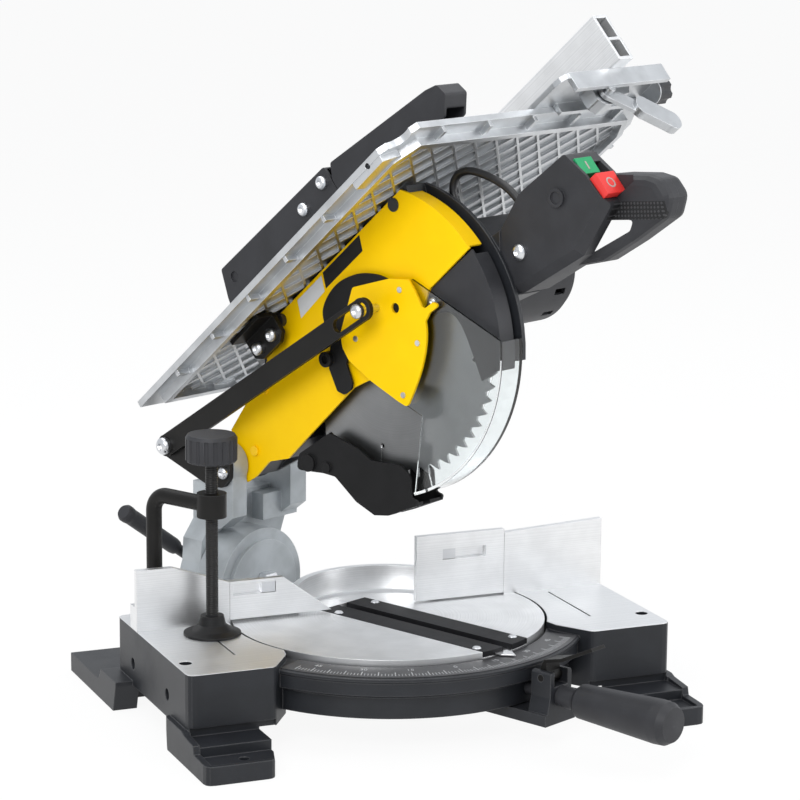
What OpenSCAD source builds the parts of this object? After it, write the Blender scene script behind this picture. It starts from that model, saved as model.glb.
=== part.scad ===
// Combination mitre saw: a tilting, turning chop saw with a saw table on its head.
// X runs to the operator's right, Y to the back, Z up. The origin lies on the turntable's
// axis at bench level. Sizes are in millimetres.

/* [Base] */
// height of the lower work surface above the bench
table_h = 76; // [70:0.5:90]
// radius of the turntable disc
disc_r = 140; // [130:1:150]
// gap between the disc and the casting round it
disc_gap = 2.3; // [1:0.1:4]
// half width of the base over its two blocks
block_x = 225; // [215:1:245]
// distance of the blocks' front face from the axis
block_front = 113; // [105:1:120]
// distance of the blocks' rear face from the axis
block_rear = 85; // [75:1:92]
// wall thickness of the base casting
base_wall = 6; // [4:0.5:8]
// half spacing of the bench bolts, left to right
foot_bolt_x = 190; // [180:1:200]
// half spacing of the bench bolts, front to back
foot_bolt_y = 152; // [145:1:156]
// radius of the bench bolt holes
foot_bolt_r = 4.5; // [3:0.25:6]
// height of the front feet
foot_h = 16; // [12:0.5:20]
// radius of the holes for the extension bars
bar_r = 5.3; // [4:0.1:6]
// radius of the clamp post
post_r = 7; // [5:0.25:8]
// width of the scale ring round the disc
ring_w = 31.7; // [28:0.1:33]
// drop of the scale ring below the work surface
ring_drop = 5.2; // [4:0.1:8]

/* [Fence] */
// distance of the fence face from the axis
fence_y = 27.3; // [22:0.1:30]
// thickness of the sliding faces
slide_t = 5.9; // [4:0.1:6]
// height of the left slide's top
left_top = 113; // [105:0.5:120]
// height of the right slide's top
right_top = 137.5; // [130:0.5:142]
// radius of the arch that joins the fence halves
arch_r = 80; // [72:1:90]
// thickness of the arch
arch_t = 6; // [4:0.5:9]

/* [Turning and tilting] */
// mitre angle in the stored pose
mitre_angle = 25.5; // [0:0.5:45]
// angle by which the head is raised in the stored pose
raise_angle = 41.2; // [38:0.1:42]
// distance of the chop pivot behind the axis
pivot_y = 182; // [178:0.5:186]
// height of the chop pivot
pivot_z = 189; // [186:0.5:194]
// distance of the chop pivot behind the blade's centre
pivot_back = 229; // [226:0.5:232]
// height of the chop pivot over the blade's centre, head lowered
pivot_up = 15; // [12:0.5:18]
// radius of the chop pivot pin
pivot_r = 9; // [7:0.25:10]
// radius of the trunnion that the head tilts on
trunnion_r = 52; // [48:0.5:54]
// thickness of the trunnion
trunnion_t = 33; // [28:0.5:36]

/* [Blade and guards] */
// radius of the saw blade
blade_r = 125; // [120:0.5:127]
// thickness of the saw blade
blade_t = 2; // [1.4:0.1:2.4]
// radius of the blade's bore
bore_r = 15; // [12.7:0.1:16]
// number of teeth
teeth = 60; // [24:2:80]
// wall thickness of the clear guard
guard_t = 2.4; // [1.6:0.1:2.6]
// gap between the blade and the fixed cover's rim
cover_gap = 6.5; // [5:0.1:7]
// wall thickness of the fixed cover
cover_t = 2.4; // [1.6:0.1:2.8]
// height of the fixed cover's top edge over the blade's centre
cover_top = 86; // [83:0.5:86]
// angle that the clear guard opens through
guard_open = 70; // [60:1:72]
// width of the guard link
link_w = 20; // [16:0.5:24]

/* [Upper table] */
// height of the upper table's surface over the blade's centre
upper_n = 96; // [95:0.25:98]
// thickness of the upper table's plate
upper_t = 6; // [4:0.25:6.5]
// spacing of the diamond ribs
rib_pitch = 20; // [16:0.4:40]
// width of a rib
rib_w = 2.4; // [1.5:0.1:4]
// depth of the pockets among the ribs
rib_h = 2.5; // [1:0.1:2.8]
// distance of the skirt from the table's edge
skirt_in = 15; // [12:0.5:20]
// radius of the columns that carry the table
column_r = 8; // [6:0.25:9]

/* [Drive] */
// distance of the motor's axis before the blade's axis
motor_s = 48; // [46:0.5:50]
// height of the motor's axis over the blade's axis
motor_n = 20; // [18:0.5:22]
// radius of the motor housing
motor_r = 50; // [47:0.5:51]
// teeth on the blade's gear
gear_teeth = 48; // [40:1:56]
// teeth on the motor's pinion
pinion_teeth = 12; // [10:1:16]

/* [Handle] */
// outer plane of the switch box
box_lo = 18.6; // [18.6:0.1:20]
// plane in which the handle halves meet
split_x = 56; // [52:0.5:60]
// half width of the hand grip
grip_half = 17; // [14:0.5:18]
// wall thickness of the handle's mouldings
shell_t = 3; // [2:0.25:4]
// radius of the switch lead
lead_r = 3.5; // [2.5:0.25:3.75]

/* [Clamp] */
// radius of the clamp screw
screw_r = 5; // [4:0.25:6]
// radius of the clamp knob
knob_r = 22.5; // [18:0.5:26]
// radius of the clamp foot
foot_r = 25; // [20:0.5:26]
// height of the clamp arm over the bench
clamp_z = 191; // [182:1:196]

/* [Hidden] */
$fn = 48;

// clearances
fit = 0.05;    // a shaft that runs in its bore
play = 0.3;    // pieces that pass each other
free = 0.5;    // moving faces side by side
past = 1;      // how far a cut runs past a face
corner_steps = 3;
round_steps = 3;

// base
arch_z = 24;
block_in_x = 148;
shoulder = [127, -82];
rear_in_x = 165;
rear_out_x = 178;
rear_step_y = 48;
corner_r = 8;
deck_t = 7;
pocket_in_x = 160;
rib_y = [-24, 32];
rib_t = 7;
foot_in_x = 161;
foot_out_x = 230;
foot_front = 173;
terrace_y = 139;
terrace_z = 22;
panel_z = 30;
panel_in = 4;
tray_lip = 4;
tray_depth = 3;
foot_rise = 28;
leg_back = 63;
rear_foot_h = 17;
rear_foot_in = 165;
rear_foot_out = 241;
rear_foot_back = 180;
rear_foot_front = 41;
bar_y = [-56, 40];
right_bar_y = [-44, 28];
bar_z = 44;
boss_wall = 4.5;
socket_x = 198;
socket_y = 60;
top_hole = [215, -76];
top_hole_r = 5.5;
groove_x = 168;
groove = [2, 88, 1];
groove_y = -68;
ring_sweep = 120;
ring_top = table_h - ring_drop;
ring_in = disc_r + disc_gap;
ring_r = ring_in + ring_w;
band_r = ring_r - 2;
skirt_r = ring_r - 11;
band_z = 52;
ring_z = 31.5;
floor_r = disc_r - 22;
floor_z = 20;
floor_t = 6;
hub_r = 28;
hub_z = 34;
window_r = [40, floor_r - 14];
bridge_y = 50;
center_bolt_r = 6;
scale_t = 0.8;

// fence
fence_t = slide_t + play;
fence_back = fence_y + fence_t;
wall_t = 7.5;
fence_lift = 1.5;
left_end = 139.5;
left_peak = 131;
left_flat = 192;
left_nose = 43;
left_shelf = 89;
right_near = 39.5;
right_end = 126;
right_low = 134;
right_high = 139;
flange_t = 7;
flange_y = 47;
flange_in = 145;
flange_out = 186;
fence_bolt_at = [[154, 41], [177, 41]];
bolt_r = 3;
bolt_head = [5.5, 4.5];
slot_h = 10;
left_slot = [-136, -96];
left_slot_z = 100;
right_slot = [65, 108];
right_slot_z = 114;
stop_w = 12.7;
back_wall_h = 24;
arch_step = 1;

// turntable
disc_t = 8;
rim_z = 50;
trough_half = 34;
trough_in = 26;
trough_front = disc_r - 8;
trough_rear = disc_r - 56;
trough_t = 6;
kerf_half = 30;
slot_half = 5.7;
insert_t = 5;
insert_rear = 55;
ledge_half = 22;
insert_screw_at = [[24, insert_rear - 18], [24, 15 - disc_r]];
insert_screw_r = 2;
neck_y = disc_r - 20;
neck_z = 62;
neck_lo = 36;
trunnion_y = disc_r + 18;
nose_r = 42;
nose_t = 4;
tilt_r = 8;
arm_half = 20;
arm_z = 20;
arm_top = 30;
riser_y = ring_r + 4;
arm_front = ring_r + 25;
riser_half = 14;
grip_z = 44;
rod_r = 6;
detent_y = -ring_r - 14;
detent_z = 60;
detent_pin_r = 3;

// tilt arm
hub_y = trunnion_y + trunnion_t + free;
hub_t = 24.5;
tilt_hub_r = 50;
ear_r = 20;
ear_front = trunnion_y + 6;
left_ear = [-31, -13];
right_ear = [45, 66];
column_top = 158;
bracket_x = [-36, -31];
bracket_r = 19;
link_bolt_y = pivot_y + 59.4;
link_bolt_z = pivot_z + 11.3;
link_bolt_r = 5;
bracket_screw = [pivot_y - 12.3, pivot_z - 4.2];
barrel = [-11 + cover_t, 22];
barrel_r = 18;
spring_wire = 1.6;
spring_turns = 4;

// head, in planes across the blade
cover_x = [-11, -11 + cover_t];
guard_x = [-14.6, -14.6 + guard_t];
hubplate_x = [-17, -14.6];
sector_x = [-19.5, -17];
link_x = [-41.5, -37];
nose_x = [cover_x[1] + 0.2, cover_x[1] + 2.6];
far_x = [14.5, 18.5];
guard_far_x = [10.2, 10.2 + guard_t];
guard_r = blade_r + 15;
cover_r = blade_r + cover_gap + cover_t;
nose_r_out = blade_r + 8.5;
far_r = blade_r + 14;
lead_s = far_r - 21;
handle_bolt_at = [far_r + 17, -21];
lead_angle = -35;
trail_angle = -113;
boss_r = 18;
pin_at = [20, 20];
leg_boss = [-60, 19];
sector_screw_at = [[53, 16.5], [-18, 13], [40, -30.5], [-3.5, -56]];
pin_r = 3.6;
slot_clear = 2.4;
flange_r = 22;
flange_x = 4.2;
case_x = [18.5, 50];
motor_len = 122;
motor_end = case_x[1] + motor_len;
arbor_r = 10;
arbor_tail_r = 7;
shaft_r = 6;
flap_hinge = [-145, -38];
flap_pin_r = 4;

// Corner of an outline at b, between a and c, rounded with a radius of about r.
function unit(v) = v / norm(v);
function corner(a, b, c, r) =
  let (u = unit(a - b), v = unit(c - b), half = acos(u * v) / 2)
  let (d = min(r / tan(half), norm(a - b) * 0.45, norm(c - b) * 0.45))
  [for (i = [0 : corner_steps]) let (t = i / corner_steps) b + u * d * (1 - t) ^ 2 + v * d * t ^ 2];
function rounded(p, r) =
  [for (i = [0 : len(p) - 1]) each corner(p[(i + len(p) - 1) % len(p)], p[i], p[(i + 1) % len(p)], r)];

// Outline moved inwards by d; its points run anticlockwise.
function normal(a, b) = let (v = unit(b - a)) [-v.y, v.x];
function inset(p, d) =
  [for (i = [0 : len(p) - 1])
    let (m = normal(p[(i + len(p) - 1) % len(p)], p[i]), n = normal(p[i], p[(i + 1) % len(p)]))
    p[i] + (m + n) * d / (1 + m * n)];

function polar(r, a) = [r * cos(a), r * sin(a)];
function arc(r, a, b, steps) = [for (i = [0 : steps]) polar(r, a + (b - a) * i / steps)];

// Point given as depth and height behind the fence, in the raised head's own plane.
function in_head_plane(y, z) =
  let (dy = y - pivot_y, dz = z - pivot_z)
  [-pivot_back - cos(raise_angle) * dy + sin(raise_angle) * dz,
    pivot_up + sin(raise_angle) * dy + cos(raise_angle) * dz];

// Frames: the turned table, and the raised head with the blade's centre as its origin.
module in_mitre() rotate([0, 0, mitre_angle]) children();
module in_head() in_mitre() translate([0, pivot_y, pivot_z]) rotate([-raise_angle, 0, 0])
  translate([0, -pivot_back, -pivot_up]) children();

// Plates: a head outline drawn forwards and up, a side outline drawn back and up, and a front one.
module slab(x) translate([x[1], 0, 0]) rotate([90, 0, -90]) linear_extrude(x[1] - x[0]) children();
module side(x) translate([x[0], 0, 0]) rotate([90, 0, 90]) linear_extrude(x[1] - x[0]) children();
module front(y) translate([0, y[1], 0]) rotate([90, 0, 0]) linear_extrude(y[1] - y[0]) children();
module axle(x, r, at = [0, 0]) slab(x) translate(at) circle(r);
module pair() for (m = [0, 1]) mirror([m, 0, 0]) children();

// Part of a flat ring between two angles less than half a turn apart.
module ring_part(r_in, r_out, a, b) intersection() {
  difference() {
    circle(r_out, $fn = 96);
    circle(r_in, $fn = 96);
  }
  polygon(concat([[0, 0]], arc(r_out / cos((b - a) / 4) + past, a, b, 2)));
}

// Bar between two points whose round ends stand a little proud of its sides.
module bar(a, b, w, eye = 0.25) {
  translate(a) circle(w / 2 + eye);
  translate(b) circle(w / 2 + eye);
  translate(a) rotate(atan2(b.y - a.y, b.x - a.x)) translate([0, -w / 2]) square([norm(b - a), w]);
}

// Solid with rounded corners whose outline is drawn in towards both faces, as on a grip.
module pebble(p, x, r) {
  bends = [for (i = [0 : round_steps]) i * 90 / round_steps];
  half = [for (t = bends) [r * (1 - cos(t)), r * (1 - sin(t))]];
  rings = concat([for (k = half) [x[0] + k[0], k[1]]],
    [for (i = [round_steps : -1 : 0]) [x[1] - half[i][0], half[i][1]]]);
  n = len(p) * (corner_steps + 1);
  points = [for (k = rings) each [for (q = rounded(inset(p, k[1]), r + 2 - k[1])) [k[0], -q.x, q.y]]];
  walls = [for (k = [0 : len(rings) - 2], i = [0 : n - 1])
    let (j = (i + 1) % n, a = k * n, b = a + n) [a + i, a + j, b + j, b + i]];
  caps = [[for (i = [n - 1 : -1 : 0]) i], [for (i = [0 : n - 1]) (len(rings) - 1) * n + i]];
  polyhedron(points, concat(walls, caps), convexity = 4);
}

// Round tube along a smooth route.
function smooth(p, steps) =
  let (last = len(p) - 1)
  [for (i = [0 : last - 1], k = [0 : steps - 1])
    let (a = p[max(i - 1, 0)], b = p[i], c = p[i + 1], d = p[min(i + 2, last)], t = k / steps)
    b + (c - a) * t / 2 + (2 * a - 5 * b + 4 * c - d) * t ^ 2 / 2 + (3 * b - a - 3 * c + d) * t ^ 3 / 2,
    p[last]];
module tube(path, r, sides, across) {
  last = len(path) - 1;
  points = [for (i = [0 : last])
    let (t = unit(path[min(i + 1, last)] - path[max(i - 1, 0)]))
    let (u = unit(cross(across, t)), v = cross(t, u))
    each [for (k = [0 : sides - 1]) path[i] + r * (u * cos(k * 360 / sides) + v * sin(k * 360 / sides))]];
  walls = [for (i = [0 : last - 1], k = [0 : sides - 1])
    let (a = i * sides, b = a + sides, j = (k + 1) % sides) each [[a + k, b + j, a + j], [a + k, b + k, b + j]]];
  caps = [[for (k = [0 : sides - 1]) k], [for (k = [sides - 1 : -1 : 0]) last * sides + k]];
  polyhedron(points, concat(walls, caps), convexity = 6);
}

// Toothed wheel with straight flanks.
module wheel(count, root, tip, foot_w, tip_w, turn) polygon([for (i = [0 : count - 1])
  let (a = turn + i * 360 / count)
  each [for (q = [[root, -foot_w], [tip, -tip_w], [tip, tip_w], [root, foot_w]])
    [q[0] * cos(a) - q[1] * sin(a), q[0] * sin(a) + q[1] * cos(a)]]]);

// Base, fixed to the bench
module block_plan() difference() {
  polygon(rounded([[block_x, -block_front], [block_x, block_rear], [rear_out_x, block_rear],
    [rear_in_x, rear_step_y], [floor_r, rear_step_y], [floor_r, shoulder.y / 2], shoulder,
    [block_in_x, -block_front]], corner_r));
  circle(ring_in, $fn = 96);
}

// Front foot: a stepped wall outside, with a terrace and a shallow tray for the bench bolt within it.
module front_foot() difference() {
  intersection() {
    side([foot_in_x, foot_out_x]) polygon([[-foot_front, 0], [-foot_front, foot_h], [-terrace_y - 2, foot_h + 1],
      [-terrace_y, terrace_z + 2], [-block_front - past, terrace_z + 4], [-block_front + 5, foot_rise],
      [-leg_back, foot_rise], [-leg_back, arch_z], [-leg_back - corner_r, 0]]);
    translate([0, 0, -past]) linear_extrude(foot_rise + 2 * past) polygon(rounded([[foot_in_x + 9, -foot_front],
      [foot_out_x, -foot_front], [foot_out_x, past - leg_back], [foot_in_x, past - leg_back],
      [foot_in_x, -terrace_y - 5]], corner_r));
  }
  translate([foot_in_x - past, tray_lip - foot_front, foot_h - tray_depth])
    cube([foot_out_x - base_wall - foot_in_x + past, foot_front - tray_lip - terrace_y, foot_h]);
  translate([foot_in_x - past, -terrace_y - past, terrace_z])
    cube([foot_out_x - base_wall - foot_in_x + past, terrace_y - block_front + past, foot_h]);
}

module pocket(y) translate([pocket_in_x, y[0], -past])
  cube([block_x - base_wall - pocket_in_x, y[1] - y[0], table_h - deck_t + past]);

module base_side(bars) difference() {
  union() {
    difference() {
      union() {
        translate([0, 0, arch_z]) linear_extrude(table_h - arch_z) block_plan();
        front_foot();
        side([rear_foot_in, rear_foot_out]) polygon([[rear_foot_back, 0], [rear_foot_back, rear_foot_h],
          [block_rear + corner_r, rear_foot_h], [block_rear, foot_rise], [rear_foot_front, foot_rise],
          [rear_foot_front, arch_z], [rear_foot_front + corner_r, 0]]);
        translate([floor_r - past, -bridge_y, floor_z])
          cube([pocket_in_x + base_wall - floor_r + past, bridge_y + rear_step_y, arch_z - floor_z + past]);
      }
      pocket([base_wall - block_front, rib_y[0]]);
      translate([block_in_x - past, -block_front - past, terrace_z])
        cube([foot_out_x - base_wall - block_in_x, past + panel_in, panel_z - terrace_z]);
      pocket([rib_y[0] + rib_t, rib_y[1]]);
      pocket([rib_y[1] + rib_t, block_rear - base_wall]);
    }
    for (y = bars) translate([pocket_in_x - past, y, bar_z]) rotate([0, 90, 0])
      cylinder(h = block_x - pocket_in_x - base_wall / 2, r = bar_r + boss_wall);
    translate([socket_x, socket_y, arch_z + past])
      cylinder(h = table_h - arch_z - deck_t / 2, r = post_r + boss_wall);
    translate([top_hole.x, top_hole.y, arch_z + past])
      cylinder(h = table_h - arch_z - deck_t / 2, r = top_hole_r + boss_wall / 2);
    for (q = fence_bolt_at) translate([q.x, q.y, table_h - 3 * deck_t])
      cylinder(h = 3 * deck_t - past, r = bolt_r + boss_wall);
  }
  for (y = bars) translate([floor_r, y, bar_z]) rotate([0, 90, 0])
    cylinder(h = block_x - floor_r + past, r = bar_r);
  translate([socket_x, socket_y, -past]) cylinder(h = table_h + 2 * past, r = post_r + fit);
  translate([top_hole.x, top_hole.y, -past]) cylinder(h = table_h + 2 * past, r = top_hole_r);
  for (q = fence_bolt_at) translate([q.x, q.y, table_h - 3 * deck_t - past])
    cylinder(h = 4 * deck_t, r = bolt_r + fit);
  for (y = [-foot_bolt_y, foot_bolt_y]) translate([foot_bolt_x, y, -past])
    cylinder(h = foot_rise + 2 * past, r = foot_bolt_r);
  translate([groove_x - groove.x / 2, groove_y, table_h - groove.z]) cube([groove.x, groove.y, groove.z + past]);
}

module base_casting() color("#2b2c2f") {
  difference() {
    union() {
      base_side(right_bar_y);
      mirror([1, 0, 0]) base_side(bar_y);
      rotate([0, 0, -90 - ring_sweep / 2]) rotate_extrude(angle = ring_sweep, $fn = 96)
        polygon([[ring_in, band_z], [ring_in, ring_top - scale_t], [ring_r - 1, ring_top - scale_t],
          [ring_r, ring_top - 2 * scale_t], [ring_r, ring_top - 4], [band_r, ring_top - 6], [band_r, band_z + 2],
          [skirt_r, band_z - 2], [skirt_r, ring_z], [skirt_r - base_wall, ring_z], [skirt_r - base_wall, band_z]]);
      translate([0, 0, floor_z]) cylinder(h = floor_t, r = floor_r, $fn = 96);
      translate([0, 0, floor_z]) cylinder(h = hub_z - floor_z - fit, r = hub_r);
    }
    for (a = [0 : 60 : 300]) rotate([0, 0, a]) translate([0, 0, floor_z - past]) linear_extrude(floor_t + 2 * past)
      ring_part(window_r[0], window_r[1], -22, 22);
    translate([0, 0, floor_z - past]) cylinder(h = hub_z, r = center_bolt_r + fit);
  }
}

module mitre_scale() color("#3a3b3e") rotate([0, 0, -90 - ring_sweep / 2 + 6])
  translate([0, 0, ring_top - scale_t]) rotate_extrude(angle = ring_sweep - 12, $fn = 96)
    translate([ring_in + 1, 0]) square([ring_r - ring_in - 3, scale_t]);

// Fence
module fence_half(near, top, sign) {
  front([fence_y, fence_back]) polygon(top);
  translate([sign > 0 ? flange_in : -flange_out, fence_back - past, table_h])
    cube([flange_out - flange_in, flange_y - fence_back + past, flange_t]);
  translate([sign > 0 ? near : -left_end - past, fence_back, table_h + fence_lift])
    cube([sign > 0 ? flange_in - near : left_end + past - near, wall_t, back_wall_h]);
}

module fence() color("#d6d9da") difference() {
  union() {
    fence_half(arch_r - 4, [[-block_x, table_h], [-left_end, table_h], [-left_end, left_top],
      [-left_flat, left_peak], [-block_x, left_peak]], -1);
    fence_half(arch_r - 4, [[right_end + play, table_h], [block_x, table_h], [block_x, right_high],
      [right_end + play, right_low]], 1);
    front([fence_back, fence_back + wall_t]) polygon([[right_slot[0] - 8, table_h + fence_lift],
      [right_end + 10, table_h + fence_lift], [right_end + 10, right_low - 4], [right_slot[0] - 8, right_slot_z + 14]]);
    front([fence_back, fence_back + wall_t]) polygon([[-left_end - 8, table_h + fence_lift],
      [left_slot[1] + 8, table_h + fence_lift], [left_slot[1] + 8, left_slot_z + 10], [-left_end - 8, left_top - 1]]);
    translate([0, 0, table_h + fence_lift]) rotate([0, 0, 25]) rotate_extrude(angle = 130, $fn = 96)
      translate([arch_r, arch_step]) square([arch_t, back_wall_h - 2 * arch_step]);
    for (x = [block_x - base_wall, -block_x]) translate([x, fence_back - past, table_h])
      cube([base_wall, flange_y - fence_back, 3 * flange_t]);
  }
  for (q = fence_bolt_at, m = [-1, 1]) translate([m * q.x, q.y, table_h - past])
    cylinder(h = flange_t + 3 * past, r = bolt_r + fit);
  for (q = [[left_slot[1] - play - stop_w / 2, left_slot_z], [right_slot[0] + play + stop_w / 2, right_slot_z]])
    translate([q.x, fence_y, q.y + slot_h / 2]) rotate([-90, 0, 0]) cylinder(h = 4 * wall_t, r = bolt_r + fit);
}

module fence_bolts() color("#b9bcc0") {
  for (q = fence_bolt_at, m = [-1, 1]) translate([m * q.x, q.y, table_h + flange_t]) {
    cylinder(h = bolt_head[1], r = bolt_head[0], $fn = 6);
    translate([0, 0, -flange_t - 2 * deck_t]) cylinder(h = flange_t + 2 * deck_t, r = bolt_r);
  }
  for (q = [[left_slot[1] - play - stop_w, left_slot_z], [right_slot[0] + play, right_slot_z]])
    translate([q.x, fence_y + past, q.y + play]) {
      cube([stop_w, fence_back - fence_y - past, slot_h - 2 * play]);
      translate([stop_w / 2, 0, slot_h / 2 - play]) rotate([-90, 0, 0])
        cylinder(h = fence_back + wall_t - fence_y + past, r = bolt_r);
    }
}

module slide_slot(x, z) translate([x[0], fence_y - past, z]) cube([x[1] - x[0], slide_t + 2 * past, slot_h]);

module left_slide() color("#e4e6e6") difference() {
  front([fence_y, fence_y + slide_t]) polygon([[play - left_end, table_h + fence_lift + past],
    [-left_nose, table_h + fence_lift + past], [-left_shelf, left_top], [play - left_end, left_top]]);
  slide_slot(left_slot, left_slot_z);
}

module right_slide() color("#e4e6e6") difference() {
  front([fence_y, fence_y + slide_t]) polygon([[right_near, table_h + fence_lift], [right_end, table_h + fence_lift],
    [right_end, right_top], [right_near, right_top]]);
  slide_slot(right_slot, right_slot_z);
}

// Turntable
module turntable_bolt() color("#b9bcc0") {
  translate([0, 0, floor_z - 8]) cylinder(h = hub_z + trough_t + 8 - floor_z + play, r = center_bolt_r);
  translate([0, 0, hub_z + trough_t + play]) cylinder(h = 4, r = 10);
  translate([0, 0, floor_z - 8]) cylinder(h = 8, r = 9, $fn = 6);
}

module turntable() color("#cfd2d3") in_mitre() difference() {
  union() {
    translate([0, 0, table_h - disc_t]) cylinder(h = disc_t, r = disc_r, $fn = 96);
    difference() {
      translate([0, 0, rim_z]) cylinder(h = table_h - rim_z - past, r = disc_r, $fn = 96);
      translate([0, 0, rim_z - past]) cylinder(h = table_h, r = disc_r - base_wall, $fn = 96);
    }
    translate([-trough_half, -trough_front, hub_z])
      cube([2 * trough_half, trough_front + trough_rear, table_h - disc_t / 2 - hub_z]);
    translate([-trough_half, trough_rear - past, neck_lo])
      cube([2 * trough_half, neck_y - trough_rear + past, neck_z - neck_lo]);
    intersection() {
      translate([0, 0, rim_z + 4]) cylinder(h = table_h - disc_t - rim_z, r = disc_r - past, $fn = 96);
      for (a = [0 : 30 : 150]) rotate([0, 0, a]) translate([-disc_r, -base_wall / 2, rim_z])
        cube([2 * disc_r, base_wall, table_h - disc_t - rim_z]);
    }
  }
  translate([-trough_in, trough_in - trough_front - 20, hub_z + trough_t])
    cube([2 * trough_in, trough_front + trough_rear - 12, table_h - disc_t - hub_z - trough_t]);
  translate([-kerf_half, -disc_r - past, table_h - insert_t])
    cube([2 * kerf_half, disc_r + past + insert_rear + play, insert_t + past]);
  translate([-ledge_half, -trough_front + 12, hub_z + trough_t])
    cube([2 * ledge_half, trough_front - 12 + insert_rear - 8, table_h]);
  translate([0, 0, hub_z - past]) cylinder(h = trough_t + 2 * past, r = center_bolt_r + fit);
  for (m = [-1, 1], q = insert_screw_at) translate([m * q.x, q.y, rim_z])
    cylinder(h = table_h - rim_z, r = insert_screw_r + fit);
  translate([-trough_half - play, neck_y, neck_lo - past]) cube([2 * (trough_half + play), disc_r, neck_z - neck_lo + past]);
}

module kerf_inserts() color("#2e2f31") in_mitre() pair() difference() {
  translate([0, 0, table_h - insert_t]) linear_extrude(insert_t) intersection() {
    translate([slot_half, -disc_r]) square([kerf_half - play - slot_half, disc_r + insert_rear]);
    circle(disc_r - play, $fn = 96);
  }
  for (q = insert_screw_at) translate([q.x, q.y, table_h - insert_t - past])
    cylinder(h = insert_t + 2 * past, r = insert_screw_r + fit);
}

module turntable_screws() color("#b9bcc0") in_mitre() for (m = [-1, 1], q = insert_screw_at)
  translate([m * q.x, q.y, table_h - 2 * insert_t]) {
    cylinder(h = 2 * insert_t, r = insert_screw_r);
    translate([0, 0, 2 * insert_t]) cylinder(h = 1.2, r1 = 4, r2 = 3);
  }

module mitre_pointer() color("#d6d9da") in_mitre() translate([0, 0, ring_top + 1]) linear_extrude(1.2) difference() {
  polygon([[-16, -disc_r + 6], [-16, -disc_r - 6], [-9, -disc_r - 16], [-2, -disc_r - 6], [-2, -disc_r + 6]]);
  circle(disc_r, $fn = 96);
}

module trunnion() color("#aeb3b6") in_mitre() difference() {
  union() {
    front([trunnion_y, trunnion_y + trunnion_t]) translate([0, table_h]) circle(trunnion_r, $fn = 96);
    front([trunnion_y - nose_t, trunnion_y]) translate([0, table_h]) circle(nose_r, $fn = 96);
    translate([-trough_half, neck_y, neck_lo]) cube([2 * trough_half, trunnion_y - neck_y + past, neck_z - neck_lo]);
  }
  front([neck_y, trunnion_y + trunnion_t + past]) translate([0, table_h]) circle(tilt_r + fit);
}

module mitre_arm() color("#26272a") in_mitre() difference() {
  union() {
    translate([-arm_half, -arm_front, arm_z]) cube([2 * arm_half, arm_front - floor_r - 4, arm_top - arm_z]);
    translate([-arm_half, -trough_front, arm_z]) cube([2 * arm_half, trough_front - floor_r - 4, hub_z - arm_z]);
    front([-arm_front, -riser_y]) polygon(rounded([[-arm_half, arm_z], [arm_half, arm_z],
      [riser_half, grip_z], [riser_half, detent_z + 6], [-riser_half, detent_z + 6], [-riser_half, grip_z]], 3));
  }
  front([-arm_front - past, -riser_y + past]) translate([0, grip_z]) circle(rod_r + fit);
  translate([-riser_half + 5, -arm_front - past, grip_z + rod_r + 3])
    cube([2 * riser_half - 10, arm_front - riser_y + 2 * past, 40]);
  side([-riser_half - past, riser_half + past]) translate([detent_y, detent_z]) circle(detent_pin_r + fit);
}

module mitre_grip() color("#1d1e20") in_mitre() translate([0, 0, grip_z]) rotate([90, 0, 0]) {
  translate([0, 0, skirt_r + free]) cylinder(h = 72, r = rod_r);
  translate([0, 0, arm_front + play]) cylinder(h = 24, r1 = 9, r2 = 10);
  difference() {
    translate([0, 0, arm_front + 20]) rotate_extrude()
      polygon([[0, 0], [12, 0], [15, 4], [19, 84], [18.5, 93], [15, 99], [0, 100]]);
    for (a = [0 : 60 : 300]) rotate([0, 0, a + 30]) translate([24.5, 0, arm_front + 38])
      rotate([0, 2.5, 0]) cylinder(h = 66, r = 7.5);
  }
}

module detent_lever() color("#26272a") in_mitre() {
  w = riser_half - 5 - play;
  translate([0, detent_y, detent_z]) {
    side([-w, w]) polygon([[10, -6.4], [12, -6.4], [1, 15], [-17, 19.5], [-49, 35], [-51, 32.5],
      [-18, 16.5], [-2, 12.5], [-3, -4], [3, -4]]);
    side([-w, w]) circle(detent_pin_r + 2);
    side([-riser_half, riser_half]) circle(detent_pin_r);
  }
}

// Tilting arm
module ear(x) side(x) {
  translate([pivot_y, pivot_z]) circle(ear_r);
  polygon([[ear_front, pivot_z - 4], [ear_front, 142], [trunnion_y + trunnion_t - 10, table_h + trunnion_r + past],
    [hub_y + past, table_h + trunnion_r + past], [hub_y + hub_t, column_top], [pivot_y + ear_r - 1, pivot_z - 4]]);
}

module tilt_arm() color("#b4b9bc") in_mitre() difference() {
  union() {
    front([hub_y, hub_y + hub_t]) {
      translate([0, table_h]) circle(tilt_hub_r, $fn = 96);
      polygon([[-46, 92], [-44, 118], [-31, 134], [-31, 170], [-13, 170], [-13, 146], [0, 124], [14, 146],
        [14, column_top], [70, column_top], [90, 150], [88, 143], [70, 135], [58, 104], [68, 93], [68, 82], [44, 80]]);
    }
    ear(left_ear);
    ear(right_ear);
    side([right_ear[0] - 24, right_ear[1]]) polygon([[ear_front + 12, table_h + trunnion_r + past],
      [hub_y + past, table_h + trunnion_r + past], [hub_y + past, column_top - 4], [ear_front + 12, column_top - 4]]);
  }
  front([hub_y - past, hub_y + hub_t + past]) translate([0, table_h]) circle(tilt_r + fit);
  axis_hole(pivot_r + fit);
  side([left_ear[0] - past, left_ear[0] + 10]) translate(bracket_screw) circle(bolt_r + fit);
  translate([61, hub_y + hub_t / 2, 70]) cylinder(h = 30, r = bolt_r + fit);
}

module axis_hole(r) side([left_ear[0] - past, right_ear[1] + past]) translate([pivot_y, pivot_z]) circle(r);

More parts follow.
